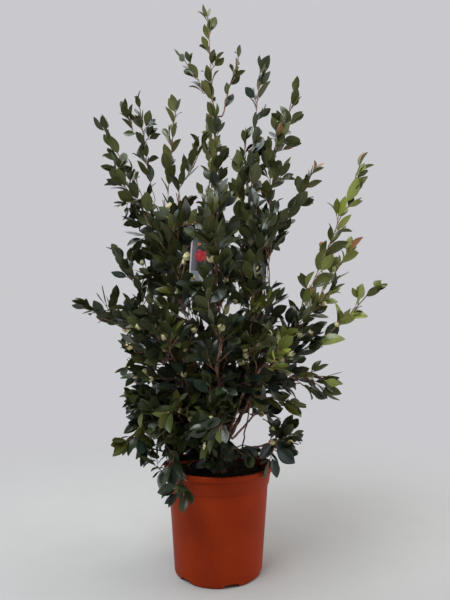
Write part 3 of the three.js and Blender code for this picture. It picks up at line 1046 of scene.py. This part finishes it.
def bare_share(shoot):
    """How much of a shoot is bare, from its foot."""
    if shoot.order == 1 and shoot.has("slender"):
        return max(0.0, 1 - shoot.mass.length * (1 - shoot.mass.bare_foot) / shoot.length)
    return {1: 0.6, 2: 0.38 if shoot.has("upright") else 0.12}.get(shoot.order, 0.05)


def vigour_of(shoot, draws):
    """The size of a shoot's leaves, less higher up and more on the leaders of the young side."""
    vigour = draws.uniform(0.92, 1.08) * (1.04 - 0.12 * (shoot.places[-1].z / cad_high.z))
    if shoot.has("young") and shoot.order == 1:
        return vigour * 1.25
    return vigour * (0.95 if shoot.has("upright") else 1.0)


class Foliage:
    """The leaves of each tint, the flower buds and the small buds that end the other shoots."""

    def __init__(self):
        self.leaves = {tint: Spread() for tint in TINTS}
        self.flower_buds = Spread()
        self.shoot_buds = Spread()

    def dress(self, shoot, draws):
        """Leaves along a shoot, flower buds in some of their axils, and the shoot's end."""
        tint = shoot.tint or spray_tint(shoot.mass, shoot.places[-1], draws)
        spacing = (YOUNG_SPACING if shoot.has("young") else LEAF_SPACING[shoot.habit()]) * MM
        distance = shoot.length * bare_share(shoot) + 4 * MM
        turn = draws.uniform(0, FULL_TURN)
        vigour = vigour_of(shoot, draws)
        while distance < shoot.length:
            place, direction, girth = shoot.at(distance)
            share = distance / shoot.length
            distance += draws.uniform(9, 14.5) * spacing * airiness(shoot, place)
            turn += math.radians(draws.uniform(135, 165))
            heading, facing = leaf_heading(shoot, place, direction, turn, draws)
            size = vigour * draws.uniform(0.74, 1.16) * (1.0 if share < 0.8 else 0.86)
            own = self.leaf_tint(shoot, tint, draws)
            foot = place + heading * girth * 0.5
            self.put_leaf(shoot.mass, foot, heading, facing, size, own, draws)
            chance = LOW_BUDS if share > 0.5 and place.z < BUD_HEIGHT else HIGH_BUDS
            if shoot.mass and shoot.order > 1 and draws.random() < chance:
                aim = (heading + direction * 0.6 + UP * 0.2).normalized()
                self.put_flower_bud(shoot.mass, place, aim, facing, draws)
        self.dress_end(shoot, tint, vigour, turn, draws)

    def leaf_tint(self, shoot, tint, draws):
        """A leaf's own tint: mostly its spray's, but on a young spray each leaf has its own."""
        if shoot.has("young"):
            return one_of(YOUNG_RIGHT, draws)
        return tint if draws.random() < OWN_TINT else RELEAF[tint]

    def dress_end(self, shoot, tint, vigour, turn, draws):
        """Two leaves and a bud at a shoot's end."""
        end, direction, _ = shoot.at(shoot.length)
        ripe = shoot.has("slender") and end.x > 110 * MM and end.z > 0.5
        for side in (0.0, draws.uniform(2.4, 3.6)):
            heading = leaning(direction, turn + side, math.radians(draws.uniform(8, 26)))
            facing = UP * 0.5 + any_way(draws)
            ripened = ripe and draws.random() < 0.45 / shoot.order**3
            own = "bronze" if ripened else self.leaf_tint(shoot, tint, draws)
            size = vigour * draws.uniform(0.66, 0.95)
            self.put_leaf(shoot.mass, end, heading, facing, size, own, draws)
        flowering = shoot.order > 1 and not shoot.has("slender") and end.z < 0.7
        flowering = flowering and draws.random() < END_BUDS
        spread, sizes, mould = self.shoot_buds, (0.7, 1.2), 0
        if flowering and not in_limb(end + direction * 8 * MM, BUD_ROOM):
            spread, sizes = self.flower_buds, (0.8, 1.15)
            mould = draws.choices((0, 1, 2), BUD_SHARES)[0]
        size = draws.uniform(*sizes)
        spread.add(end, direction, direction.orthogonal(), size, mould, draws.random())

    def put_flower_bud(self, mass, place, aim, facing, draws):
        """Adds a flower bud near the mass's surface and clear of pot and limbs."""
        near_skin = -8 * MM < mass.depth(place + aim * 14 * MM) < 16 * MM
        if near_skin and clear_of_pot(place) and not in_limb(place + aim * 8 * MM, BUD_ROOM):
            mould = draws.choices((0, 1, 2), BUD_SHARES)[0]
            size = draws.uniform(0.78, 1.12)
            self.flower_buds.add(place, aim, facing, size, mould, draws.random())

    def put_leaf(self, mass, place, heading, facing, size, tint, draws):
        """Adds a leaf whose tip stays near the crown, clear of the pot, label, limbs and gap."""
        tone, mould = draws.random(), draws.randrange(LEAF_MOULDS)
        if mass:
            over = outside_crown(mass, place + heading * LEAF_REACH * size)
            if over > TIP_EXCESS:
                size *= max(SMALLEST_SHARE, 1 - (over - TIP_EXCESS) / (LEAF_REACH * size))
        tip = place + heading * LEAF_REACH * size
        if mass and (outside_crown(mass, tip) > TIP_LIMIT or is_open(mass, tip)):
            return
        middle = place.lerp(tip, 0.6)
        half = heading.cross(facing).normalized() * 0.26 * LEAF_REACH * size
        spots = [place.lerp(tip, share) for share in (0.3, 0.45, 0.6, 0.8, 1.0)]
        spots += [middle + half, middle - half]
        if not in_box(tip, cad_low, cad_high, 5 * MM):
            return
        if not all(clear_of_pot(spot) for spot in (place, *spots)):
            return
        if not any(CARD.spoilt_by(spot) or in_gap(spot) or in_limb(spot) for spot in spots):
            self.leaves[tint].add(place, heading, facing, size, mould, tone)


# ---- Moulds
def hidden_collection(name, moulds):
    """A collection that isn't in the scene, for Geometry Nodes to take its objects from."""
    collection = bpy.data.collections.new(name)
    for mould in moulds:
        bpy.context.scene.collection.objects.unlink(mould)
        collection.objects.link(mould)
    return collection


BLADE_STATIONS = (0.0, 0.07, 0.2, 0.36, 0.54, 0.71, 0.86, 0.95, 1.0)
BLADE_SHARES = (-1.0, -0.5, 0.0, 0.5, 1.0)
BLADE_THICKNESS = 0.5 * MM


def blade_outline(share, broad):
    """Half the blade's width at a share of its length, 1 at the widest place."""
    if not 0 < share < 1:
        return 0.0
    return math.sin(math.pi * share**broad) ** 0.75 * (1 - 0.3 * share**6)


def leaf_mould(name, width, broad, fold, arch, twist):
    """A leathery pointed leaf along +Y with its upper side to +Z: two sheets that meet at the
    margin, folded along the midrib and arched towards the tip, on a short stalk."""
    points, uvs = [], []

    def spot(station, across, lower=False):
        bend = arch * station**1.4
        middle = Vector((0, PETIOLE + LEAF * station * math.cos(bend / 2.4),
                         -LEAF * station * math.sin(bend / 2.4)))
        half = LEAF * width / 2 * blade_outline(station, broad)
        flat = Vector((across * half, 0, half * (math.sin(fold) * abs(across) - 0.2 * across**2)))
        flat.z -= BLADE_THICKNESS * (1 - across**2) if lower else 0
        flat.rotate(Matrix.Rotation(twist * station, 3, "Y"))
        flat.rotate(Matrix.Rotation(-bend, 3, "X"))
        points.append(middle + flat)
        uvs.append(((across + 1) / 2, station))
        return len(points) - 1

    base, tip = spot(0.0, 0.0), spot(1.0, 0.0)
    uppers, lowers = [], []
    for station in BLADE_STATIONS[1:-1]:
        uppers.append([spot(station, across) for across in BLADE_SHARES])
        lowers.append([uppers[-1][0], spot(station, 0.0, True), uppers[-1][-1]])
    faces, under = [], []
    for sheet, is_lower in ((uppers, False), (lowers, True)):
        for k in range(len(sheet[0]) - 1):
            found = [(base, sheet[0][k + 1], sheet[0][k]), (tip, sheet[-1][k], sheet[-1][k + 1])]
            found += [(a[k], a[k + 1], b[k + 1], b[k]) for a, b in zip(sheet, sheet[1:])]
            faces += [face[::-1] if is_lower else face for face in found]
            under += [is_lower] * len(found)
    stalk = len(points)
    for height, radius in ((-0.5 * MM, 0.9 * MM), (PETIOLE + 1.5 * MM, 0.7 * MM)):
        for k in range(3):
            turn = FULL_TURN * k / 3 + 0.5
            points.append((radius * math.cos(turn), height, radius * math.sin(turn) - 0.5 * MM))
            uvs.append((0.5, 0.0))
    faces += [face[::-1] for face in ring_faces(stalk, stalk + 3, 3)]
    faces += [(stalk, stalk + 1, stalk + 2), (stalk + 5, stalk + 4, stalk + 3)]
    under += [True] * 5
    made = uv_object(name, points, faces, uvs)
    margins = {base, tip, *(number for row in uppers for number in (row[0], row[-1]))}
    sharp = made.data.attributes.new("sharp_edge", "BOOLEAN", "EDGE")
    for edge in made.data.edges:
        sharp.data[edge.index].value = margins.issuperset(edge.vertices)
    made.data.attributes.new("underside", "BOOLEAN", "FACE").data.foreach_set("value", under)
    return made


def leaf_moulds():
    """Leaves that differ in breadth, fold, arch and twist."""
    draws = random.Random(f"{SEED} moulds")
    moulds = []
    for number in range(LEAF_MOULDS):
        width = draws.uniform(0.47, 0.61)
        broad = draws.uniform(0.86, 1.15)
        angles = [math.radians(draws.uniform(*span)) for span in ((8, 34), (-10, 42), (-18, 18))]
        moulds.append(leaf_mould(f"leaf_mould_{number}", width, broad, *angles))
    return hidden_collection("leaf_moulds", moulds)


def bud_mould(name, length, width, tiers, sides, plump):
    """A bud along +Y of overlapping scales: each tier steps in and has a scalloped edge."""
    rings = [((tier + edge) / tiers, edge) for tier in range(tiers) for edge in (0.0, 0.96)]
    points, uvs, faces = [], [], []
    for share, edge in rings:
        radius = width / 2 * math.sin(math.pi * min(0.985, 0.10 + 0.9 * share) ** plump) ** 0.75
        radius *= 1.0 + 0.06 * edge
        for k in range(sides):
            turn = FULL_TURN * k / sides + share * 2.0
            scallop = 0.04 * length * math.cos(2 * turn + share * 9.0) * edge
            height = length * share + scallop
            points.append((radius * math.cos(turn), height, -radius * math.sin(turn)))
            uvs.append((share, edge))
    last = (len(rings) - 1) * sides
    for first in range(0, last, sides):
        faces += ring_faces(first, first + sides, sides)
    crown = len(points)
    points += [(0, length * 1.03, 0), (0, -0.4 * MM, 0)]
    uvs += [(1.0, 1.0), (0.0, 0.0)]
    for k in range(sides):
        after = (k + 1) % sides
        faces += [(last + k, last + after, crown), (after, k, crown + 1)]
    made = uv_object(name, points, faces, uvs)
    made.data.set_sharp_from_angle(angle=math.radians(55))
    return made


def crumb_moulds():
    """Small uneven lumps, some of them long chips."""
    draws = random.Random(f"{SEED} crumbs")
    moulds = []
    for number in range(5):
        shape = bmesh.new()
        bmesh.ops.create_icosphere(shape, subdivisions=1, radius=1.0)
        stretch = (1.0, draws.uniform(0.6, 0.9), draws.uniform(0.4, 0.7))
        if number > 2:
            stretch = (2.4, draws.uniform(0.4, 0.7), 0.3)
        for vertex in shape.verts:
            vertex.co *= draws.uniform(0.7, 1.2)
            vertex.co = Vector([part * scale for part, scale in zip(vertex.co, stretch)])
        name = f"crumb_mould_{number}"
        moulds.append(linked(name, mesh_from(name, shape)))
    return hidden_collection("crumb_moulds", moulds)


# ---- Geometry Nodes
class Growth(Tree):
    """A Geometry Nodes tree with named inputs, which turns one geometry into another."""

    def __init__(self, name, **inputs):
        super().__init__(bpy.data.node_groups.new(name, "GeometryNodeTree"))
        self.opening("Geometry", "OUTPUT", "Geometry")
        self.opening("Geometry", "INPUT", "Geometry")
        self.names = {title: self.opening(title, "INPUT", kind) for title, kind in inputs.items()}
        self.entry = self.tree.nodes.new("NodeGroupInput")

    def opening(self, title, way, kind):
        """Adds an input or output and gives its identifier."""
        kind = f"NodeSocket{kind}"
        return self.tree.interface.new_socket(title, in_out=way, socket_type=kind).identifier

    def given(self, title):
        return Socket(self, self.entry.outputs[title])

    def named(self, title, kind):
        return self.node("GeometryNodeInputNamedAttribute", {"data_type": kind}, {"Name": title})

    def random(self, kind, inputs, output=0):
        inputs["Seed"] = self.given("Seed")
        return self.node("FunctionNodeRandomValue", {"data_type": kind}, inputs, output)

    def copies(self, points, turn, size, more):
        """Copies of the moulds on points, turned by these angles and this large."""
        moulds = {"Collection": self.given("Moulds"), "Separate Children": True}
        moulds["Reset Children"] = True
        inputs = {"Points": points, "Pick Instance": True, "Scale": size, **more}
        inputs["Instance"] = self.node("GeometryNodeCollectionInfo", None, moulds)
        inputs["Rotation"] = self.node("FunctionNodeEulerToRotation", None, {0: turn})
        return self.node("GeometryNodeInstanceOnPoints", None, inputs)

    def finish(self, geometry, title="Finish", **more):
        values = {"Geometry": geometry, "Material": self.given(title), **more}
        return self.node("GeometryNodeSetMaterial", None, values)

    def real(self, geometry):
        """The geometry with its copies made real, in the given finish."""
        return self.finish(self.node("GeometryNodeRealizeInstances", None, {"Geometry": geometry}))

    def ends(self, geometry):
        self.node("NodeGroupOutput", None, {"Geometry": geometry})
        return self

    def grow(self, name, mesh, **values):
        """Runs the tree on a new object of this mesh and leaves the result as its plain mesh."""
        made = linked(name, mesh)
        modifier = made.modifiers.new(self.tree.name, "NODES")
        modifier.node_group = self.tree
        for title, value in values.items():
            modifier[self.names[title]] = value
        return applied(made)


def scatter_growth():
    """Copies of a collection's moulds on points, each as its attributes say."""
    growth = Growth("scatter_moulds", Moulds="Collection", Finish="Material", Underside="Material")
    turn, size = growth.named("turn", "FLOAT_VECTOR"), growth.named("size", "FLOAT")
    number = {"Instance Index": growth.named("mould", "INT")}
    copies = growth.copies(growth.given("Geometry"), turn, size, number)
    under = growth.named("underside", "BOOLEAN")
    return growth.ends(growth.finish(growth.real(copies), "Underside", Selection=under))


def tube_growth():
    """Round stems along the runs of edges of a mesh, as thick as their girth says."""
    growth = Growth("stem_tubes", Sides="Int", Finish="Material")
    runs = growth.node("GeometryNodeMeshToCurve", None, {"Mesh": growth.given("Geometry")})
    values = {"Resolution": growth.given("Sides"), "Radius": 1.0}
    ring = growth.node("GeometryNodeCurvePrimitiveCircle", None, values)
    values = {"Curve": runs, "Profile Curve": ring, "Scale": growth.named("girth", "FLOAT")}
    values["Fill Caps"] = True
    tubes = growth.node("GeometryNodeCurveToMesh", None, values)
    smooth = growth.node("GeometryNodeSetShadeSmooth", None, {"Geometry": tubes})
    return growth.ends(growth.real(smooth))


def crumb_growth():
    """Lumps strewn over a surface at random, with a fixed seed."""
    growth = Growth("strewn_crumbs", Moulds="Collection", Density="Float", Smallest="Float",
                    Largest="Float", Finish="Material", Seed="Int")
    values = {"Mesh": growth.given("Geometry"), "Density": growth.given("Density")}
    values["Seed"] = growth.given("Seed")
    strewn = growth.node("GeometryNodeDistributePointsOnFaces", None, values)
    sizes = {"Min_001": growth.given("Smallest"), "Max_001": growth.given("Largest")}
    size = growth.random("FLOAT", sizes, "Value_001")
    turn = growth.random("FLOAT_VECTOR", {"Max": (FULL_TURN, FULL_TURN, FULL_TURN)})
    return growth.ends(growth.real(growth.copies(strewn, turn, size, {})))


# ---- Pieces
def finished(piece, replaced):
    """Fixes a piece to the plant's body and hides the nodes that it stands for."""
    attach(piece, BODY)
    if replaced:
        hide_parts(*replaced)


def spread_piece(name, growth, spread, collection, materials):
    """The copies that a spread asks for, as one joined piece."""
    places, turns, sizes, moulds, tones = zip(*spread.rows)
    mesh = plain_mesh(name, places)
    turned = mesh.attributes.new("turn", "FLOAT_VECTOR", "POINT")
    turned.data.foreach_set("vector", np.ravel(turns))
    for title, kind, values in (("size", "FLOAT", sizes), ("tone", "FLOAT", tones),
                                ("mould", "INT", moulds)):
        mesh.attributes.new(title, kind, "POINT").data.foreach_set("value", values)
    return growth.grow(name, mesh, Moulds=collection, Finish=materials[0], Underside=materials[-1])


def tube_piece(name, growth, runs, sides, material):
    """Runs of (places, girths) as one piece of joined stems."""
    points, edges, girths = [], [], []
    for places, sizes in runs:
        edges += [(len(points) + k, len(points) + k + 1) for k in range(len(places) - 1)]
        points += places
        girths += list(sizes)
    mesh = plain_mesh(name, points, edges)
    mesh.attributes.new("girth", "FLOAT", "POINT").data.foreach_set("value", girths)
    return growth.grow(name, mesh, Sides=sides, Finish=material)


def limb_piece(growth, material):
    """Trunk and boughs as one skin with ridged, uneven bark."""
    foot = Vector((0, 0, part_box("trunk")[0].z - 8 * MM))
    top, top_radius = LIMBS["trunk"][-1]
    trunk = [(foot, LIMBS["trunk"][0][1] * 1.06), *LIMBS["trunk"]]
    trunk.append((top + UP * 5 * MM, top_radius * 0.62))
    runs = []
    for line in (trunk, *[LIMBS[name] for name in BOUGH_NODES]):
        places = smooth_run([middle for middle, _ in line], 4 * MM)
        heights = np.linspace(0, 1, len(line))
        sizes = np.interp(np.linspace(0, 1, len(places)), heights, [size for _, size in line])
        runs.append((places, sizes))
    limbs = tube_piece("limbs", growth, runs, 16, material)
    skin = limbs.modifiers.new("one_skin", "REMESH")
    skin.mode = "VOXEL"
    skin.voxel_size = 1.15 * MM
    skin.use_smooth_shade = True
    smooth = limbs.modifiers.new("soft_crotches", "SMOOTH")
    smooth.factor = 0.5
    smooth.iterations = 4
    applied(limbs)
    relieve_bark(limbs.data)
    limbs.data.materials.clear()
    limbs.data.materials.append(material)
    return limbs


def relieve_bark(mesh):
    """Moves the skin in and out: long ridges up the stem, and a wider unevenness."""
    skin = [(vertex, vertex.co.copy(), vertex.normal.copy()) for vertex in mesh.vertices]
    for vertex, place, normal in skin:
        ridges = noise.noise(Vector((place.x * 300, place.y * 300, place.z * 60)))
        lumps = noise.noise(place * 95)
        vertex.co = place + normal * (0.85 * ridges + 0.65 * lumps) * MM
    mesh.update()


# ---- Pot, compost and label
POT_WALL = 2.2 * MM
LIP_HEIGHT = 10 * MM
LIP_ROUND = 2.2 * MM
LIP_WIDTH = 5 * MM
COLLAR_HEIGHT = 36 * MM
COLLAR_STEP = 2.6 * MM
COLLAR_FLARE = 3 * MM
FOOT_RISE = 7 * MM  # how high the base is raised between its disc and its ring
FOOT_RING = 6.5 * MM
HEEL = 4 * MM
DRAINS = 6
FIRST_DRAIN = math.radians(47)
# (side, height) of a drain's round-topped notch and of the slot behind it, in millimetres.
DRAIN_NOTCH = ((-15, -9), (-15, 3), (-12, 5.6), (-9, 6.5), (9, 6.5), (12, 5.6), (15, 3),
               (15, -9))
DRAIN_SLOT = ((-4, -9), (-4, 20), (4, 20), (4, -9))


def arc(x, y, radius, start, end, steps):
    """Points round a corner, from one angle to another in degrees."""
    angles = [math.radians(start + (end - start) * k / steps) for k in range(steps + 1)]
    return [(x + radius * math.cos(angle), y + radius * math.sin(angle)) for angle in angles]


def widest_at(name, height, spare):
    """How far a node reaches from the Z axis near a height."""
    points = [vertex.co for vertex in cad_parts[name].data.vertices]
    return max(math.hypot(x, y) for x, y, z in points if abs(z - height) < spare)


def pot_piece(material):
    """A moulded pot: rolled lip, collar, thin wall, rounded heel and six drain notches."""
    top = POT_HIGH.z
    rim = widest_at("pot", top - 5 * MM, 4 * MM)
    base = widest_at("pot", POT_LOW.z, 1 * MM) + HEEL / 2
    step = top - COLLAR_HEIGHT
    wall_top = widest_at("pot", step, 1 * MM)
    collar = wall_top + COLLAR_STEP
    under_lip = collar + COLLAR_FLARE
    lip_foot = top - LIP_HEIGHT
    lip_middle = rim - LIP_ROUND
    disc = base * 0.6
    ring = base - FOOT_RING
    floor = FOOT_RISE + POT_WALL
    outside = [
        (0, 0), *arc(disc - 1 * MM, 1 * MM, 1 * MM, -90, 0, 3),
        (disc + 3 * MM, FOOT_RISE), (ring - 2 * MM, FOOT_RISE), (ring, 0.5 * MM),
        (ring + 0.5 * MM, 0), *arc(base - HEEL, HEEL, HEEL, -90, -4, 8),
        (wall_top, step), *arc(wall_top + 0.4 * MM, step + 0.8 * MM, 0.8 * MM, -60, -10, 3),
        (collar - 0.5 * MM, step + COLLAR_STEP), (collar, step + COLLAR_STEP + 0.8 * MM),
        (under_lip, lip_foot - 1.5 * MM), (under_lip + 0.6 * MM, lip_foot),
        *arc(lip_middle, lip_foot + LIP_ROUND, LIP_ROUND, -80, 0, 5),
        *arc(lip_middle, top - LIP_ROUND, LIP_ROUND, 0, 90, 6),
    ]
    inside = [
        *arc(rim - LIP_WIDTH + 1 * MM, top - 1 * MM, 1 * MM, 90, 180, 3),
        (under_lip - POT_WALL, lip_foot), (collar - POT_WALL, step + COLLAR_STEP),
        (wall_top - POT_WALL, step - COLLAR_STEP), (base - POT_WALL + 1 * MM, floor + 6 * MM),
        (ring, floor), (disc + 2 * MM, floor), (disc - 2 * MM, POT_WALL), (0, POT_WALL),
    ]
    pot = lathe("nursery_pot", outside + inside, 128, material, 35)
    cutter = drain_cutter(base, disc)
    cut = pot.modifiers.new("drains", "BOOLEAN")
    cut.object = cutter
    cut.solver = "EXACT"
    applied(pot)
    bpy.data.objects.remove(cutter)
    pot.data.set_sharp_from_angle(angle=math.radians(35))
    return pot


def drain_cutter(base, disc):
    """The notches through the foot ring, each with its slot through the base."""
    points, faces = [], []
    for number in range(DRAINS):
        turned = Matrix.Rotation(FIRST_DRAIN + FULL_TURN * number / DRAINS, 3, "Z")
        for outline, near, far in ((DRAIN_NOTCH, base - 9 * MM, base + 6 * MM),
                                   (DRAIN_SLOT, disc + 12 * MM, base - 11 * MM)):
            first, count = len(points), len(outline)
            corners = [(reach, *corner) for reach in (near, far) for corner in outline]
            for reach, side, height in corners:
                points.append(Vector((reach, side * MM, height * MM)))
                points[-1].rotate(turned)
            faces += ring_faces(first, first + count, count)
            faces += [range(start, start + count) for start in (first, first + count)]
    return closed_object("drain_cutter", points, faces)


def compost_piece(material):
    """The compost's uneven top, a little sunk against the pot's wall, closed underneath."""
    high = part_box("compost")[1]
    radius = widest_at("compost", high.z, 1 * MM) - 0.3 * MM
    rings = 40
    profile = [(radius * index / rings, high.z) for index in range(rings + 1)]
    profile += [(radius - 1 * MM, high.z - 16 * MM), (0, high.z - 16 * MM)]
    bed = lathe("compost_bed", profile, 120, material, 60)
    for vertex in bed.data.vertices:
        place = vertex.co
        if place.z > high.z - 1 * MM:
            share = math.hypot(place.x, place.y) / radius
            lumps = noise.fractal(place * 70, 1.0, 2.0, 4) * 3.2 * MM
            place.z += (lumps + 1.5 * MM - 4.5 * MM * share**3) * min(1.0, 8 * (1.02 - share))
    bed.data.update()
    return bed


def crumb_piece(bed, collection, material):
    """Lumps of peat and chips of bark strewn over the compost."""
    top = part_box("compost")[1].z
    shape = bmesh.new()
    shape.from_mesh(bed.data)
    low_faces = [face for face in shape.faces if face.calc_center_median().z < top - 6 * MM]
    bmesh.ops.delete(shape, geom=low_faces, context="FACES")
    name = "compost_crumbs"
    return crumb_growth().grow(name, mesh_from(name, shape), Moulds=collection, Density=62000.0,
                               Smallest=0.9 * MM, Largest=2.9 * MM, Finish=material, Seed=7)


def card_half_width(height):
    """Half the label's width at a height above its foot: round corners, shoulders, then strap."""
    if height < CARD_CORNER:
        side = math.sqrt(CARD_CORNER**2 - (CARD_CORNER - height) ** 2)
        return CARD.wide - CARD_CORNER + side
    shoulder = CARD_HEIGHT - CARD_SHOULDER
    if height < shoulder:
        return CARD.wide
    if height < CARD_HEIGHT:
        share = (height - shoulder) / CARD_SHOULDER
        return CARD.wide + (STRAP_WIDTH / 2 - CARD.wide) * (3 * share**2 - 2 * share**3)
    end = max(0.0, (height - (CARD.total - STRAP_WIDTH / 2)) / (STRAP_WIDTH / 2))
    return STRAP_WIDTH / 2 * math.sqrt(max(0.04, 1 - end**2))


def card_sheet(heights, layer):
    """One side of the label as rows of (place, uv), a little curled along and across."""
    sheet = []
    for height in heights:
        half = card_half_width(height)
        for k in range(CARD_COLUMNS + 1):
            across = half * (2 * k / CARD_COLUMNS - 1)
            curl = 2.6 * MM * math.sin(3.0 * height / CARD.total + 0.4)
            curl += 3.0 * MM * (across / CARD.wide) ** 2 - 2 * MM
            place = CARD.foot + CARD.side * across + CARD.up * height + CARD.front * (layer + curl)
            sheet.append((place, (0.5 + across / (2 * CARD.wide), height / CARD_HEIGHT)))
    return sheet


def label_piece(printed):
    """A printed card with a strap that hangs in the crown."""
    heights = [CARD_CORNER * (1 - math.cos(math.pi / 2 * k / 5)) for k in range(6)]
    heights += [CARD_CORNER + (CARD_HEIGHT - CARD_CORNER) * k / 30 for k in range(1, 31)]
    heights += [CARD_HEIGHT + (CARD.total - CARD_HEIGHT) * k / 16 for k in range(1, 17)]
    spots = card_sheet(heights, CARD_HALF_THICKNESS) + card_sheet(heights, -CARD_HALF_THICKNESS)
    last, row = len(heights) - 1, CARD_COLUMNS + 1
    back = row * len(heights)
    faces = []
    for corner in (index * row + k for index in range(last) for k in range(CARD_COLUMNS)):
        square = (corner, corner + 1, corner + row + 1, corner + row)
        faces += [square, tuple(back + number for number in reversed(square))]
    border = [*range(row), *(index * row + CARD_COLUMNS for index in range(1, last + 1))]
    border += [last * row + k for k in reversed(range(CARD_COLUMNS))]
    border += [index * row for index in reversed(range(1, last))]
    faces += [(b, a, back + a, back + b) for a, b in zip(border, border[1:] + border[:1])]
    card = uv_object("label_card", [place for place, _ in spots], faces, [uv for _, uv in spots])
    card.data.materials.append(printed)
    card.data.set_sharp_from_angle(angle=math.radians(40))
    return card


# ---- Studio
def soft_light(name, place, size, power, tint):
    data = bpy.data.lights.new(name, "AREA")
    data.shape = "DISK"
    data.size = size
    data.energy = power
    data.color = tint
    light = linked(name, data)
    light.location = place
    aim = Vector((0, 0, 0.55)) - Vector(place)
    light.rotation_euler = aim.to_track_quat("-Z", "Y").to_euler()
    light.visible_camera = False


def make_studio():
    size = 6.0
    corners = [(-size, -size, 0), (size, -size, 0), (size, size, 0), (-size, size, 0)]
    floor = closed_object("studio_floor", corners, [(0, 1, 2, 3)], floor_finish())
    floor.location.z = cad_low.z - 0.5 * MM
    world = bpy.data.worlds.new("studio")
    world.use_nodes = True
    sky = Tree(world.node_tree)
    shown = sky.node("ShaderNodeBackground", None, {"Color": BACKDROP, "Strength": 1.0})
    lit = sky.node("ShaderNodeBackground", None, {"Color": (0.93, 0.97, 1.0, 1), "Strength": 0.24})
    seen = sky.node("ShaderNodeLightPath", None, None, "Is Camera Ray")
    both = sky.node("ShaderNodeMixShader", None, {0: seen, 1: lit, 2: shown})
    sky.feed(world.node_tree.nodes["World Output"].inputs["Surface"], both)
    bpy.context.scene.world = world
    bpy.context.scene.view_settings.view_transform = "Standard"
    soft_light("window_above", (-0.4, 0.8, 3.1), 4.4, 66, (0.93, 0.97, 1.0))
    soft_light("window_right", (2.5, 0.2, 1.3), 3.0, 47, (1.0, 0.97, 0.92))
    soft_light("window_left", (-2.4, 0.4, 2.2), 3.0, 16, (0.95, 0.98, 1.0))
    soft_light("skylight_front", (-1.1, -1.5, 2.7), 1.8, 68, (0.88, 0.96, 1.0))


# ---- Assembly
# Where single twigs reach out to, in millimetres, and the tint of each.
REACHES = (
    ("deep", ((-132, -64, 240), (-112, -84, 226), (-144, -50, 256),  # over the rim's left side
              (98, -60, 222), (126, 0, 226), (108, -36, 248))),  # over its right side
    ("dark", ((-188, -12, 514), (-214, -8, 520), (-234, 4, 516), (-140, -16, 548),
              (-136, -12, 574),  # the low left spray
              (-166, -20, 690), (-156, -20, 655), (-168, -30, 714))),  # the left shoulder
    ("mid", ((176, -66, 352), (198, -62, 356))),  # under the right spray
)
# Twigs inside the crown: their name, count and girth, where on the boughs they start, and how
# far over the pot's mouth and from the middle they end, in millimetres.
INNER_TWIGS = (
    ("low", 30, 1.7 * MM, (0.05, 0.5), (10, 60), (36, 112)),
    ("inner", 22, 1.6 * MM, (0.4, 1.0), (50, 190), (28, 104)),
    ("waist", 22, 1.6 * MM, (0.5, 1.0), (138, 178), (104, 152)),
    ("middle", 12, 1.7 * MM, (0.7, 1.0), (236, 318), (24, 112)),
)
# Moulds of flower buds and of the small buds at shoots' ends: length, width, tiers, sides, shape.
FLOWER_BUDS = (
    (15.5 * MM, 13 * MM, 3, 11, 0.85),
    (16.5 * MM, 11 * MM, 3, 10, 0.9),
    (12 * MM, 8.5 * MM, 3, 10, 0.9),
)
SHOOT_BUDS = ((7 * MM, 2.4 * MM, 2, 6, 0.7),)


def add_stems(shoots, dead, growth):
    old = bark_finish("old_bark", (0.075, 0.037, 0.025), (0.29, 0.155, 0.105), 0.25)
    green = bark_finish("stem_bark", (0.155, 0.076, 0.056), (0.38, 0.21, 0.155))
    young = bark_finish("young_twig", (0.185, 0.074, 0.048), (0.38, 0.19, 0.125))
    finished(limb_piece(growth, old), ["trunk", *BOUGH_NODES])
    stems = [(shoot.places, shoot.girths) for shoot in shoots if shoot.order == 1]
    twigs = [(shoot.places, shoot.girths) for shoot in shoots + dead if shoot.order > 1]
    finished(tube_piece("stems", growth, stems, 8, green), MASS_NODES)
    finished(tube_piece("twigs", growth, twigs, 5, young), [])


def add_leaves(leaves, growth):
    blades = leaf_moulds()
    for tint, (upper, under) in TINTS.items():
        materials = [blade_finish(tint, upper), underside_finish(tint, under)]
        piece = spread_piece(f"leaves_{tint}", growth, leaves[tint], blades, materials)
        finished(piece, MASS_NODES)


def add_buds(name, spread, shapes, scales, growth):
    moulds = [bud_mould(f"{name}_mould_{k}", *shape) for k, shape in enumerate(shapes)]
    collection = hidden_collection(f"{name}_moulds", moulds)
    finished(spread_piece(name, growth, spread, collection, [scales]), [])


def add_compost():
    bed = compost_piece(compost_finish("compost", (0.010, 0.006, 0.004), (0.034, 0.019, 0.011)))
    peat = compost_finish("peat_crumbs", (0.014, 0.008, 0.005), (0.075, 0.040, 0.022))
    finished(bed, ["compost"])
    finished(crumb_piece(bed, crumb_moulds(), peat), [])


make_studio()
shoots = grown_shoots()
shoots += twigs_over_label(shoots)
for tint, ends in REACHES:
    shoots += reaching_twigs(shoots, ends, tint)
for row in INNER_TWIGS:
    shoots += inner_twigs(*row)
dead = inner_twigs("dead", 12, 1.3 * MM, (0.05, 0.5), (8, 46), (50, 98))
foliage = Foliage()
for number, shoot in enumerate(shoots):
    foliage.dress(shoot, random.Random(f"{SEED} leaves {number}"))

finished(pot_piece(plastic_finish()), ["pot"])
add_compost()
add_stems(shoots, dead, tube_growth())
scatter = scatter_growth()
add_leaves(foliage.leaves, scatter)
scales = bud_finish("bud_scales", (0.52, 0.49, 0.18), (0.84, 0.77, 0.48), (0.74, 0.34, 0.28))
add_buds("flower_buds", foliage.flower_buds, FLOWER_BUDS, scales, scatter)
scales = bud_finish("shoot_bud_scales", (0.22, 0.20, 0.06), (0.36, 0.24, 0.10), (0.30, 0.10, 0.05))
add_buds("shoot_buds", foliage.shoot_buds, SHOOT_BUDS, scales, scatter)
finished(label_piece(card_finish()), ["hanging_label"])
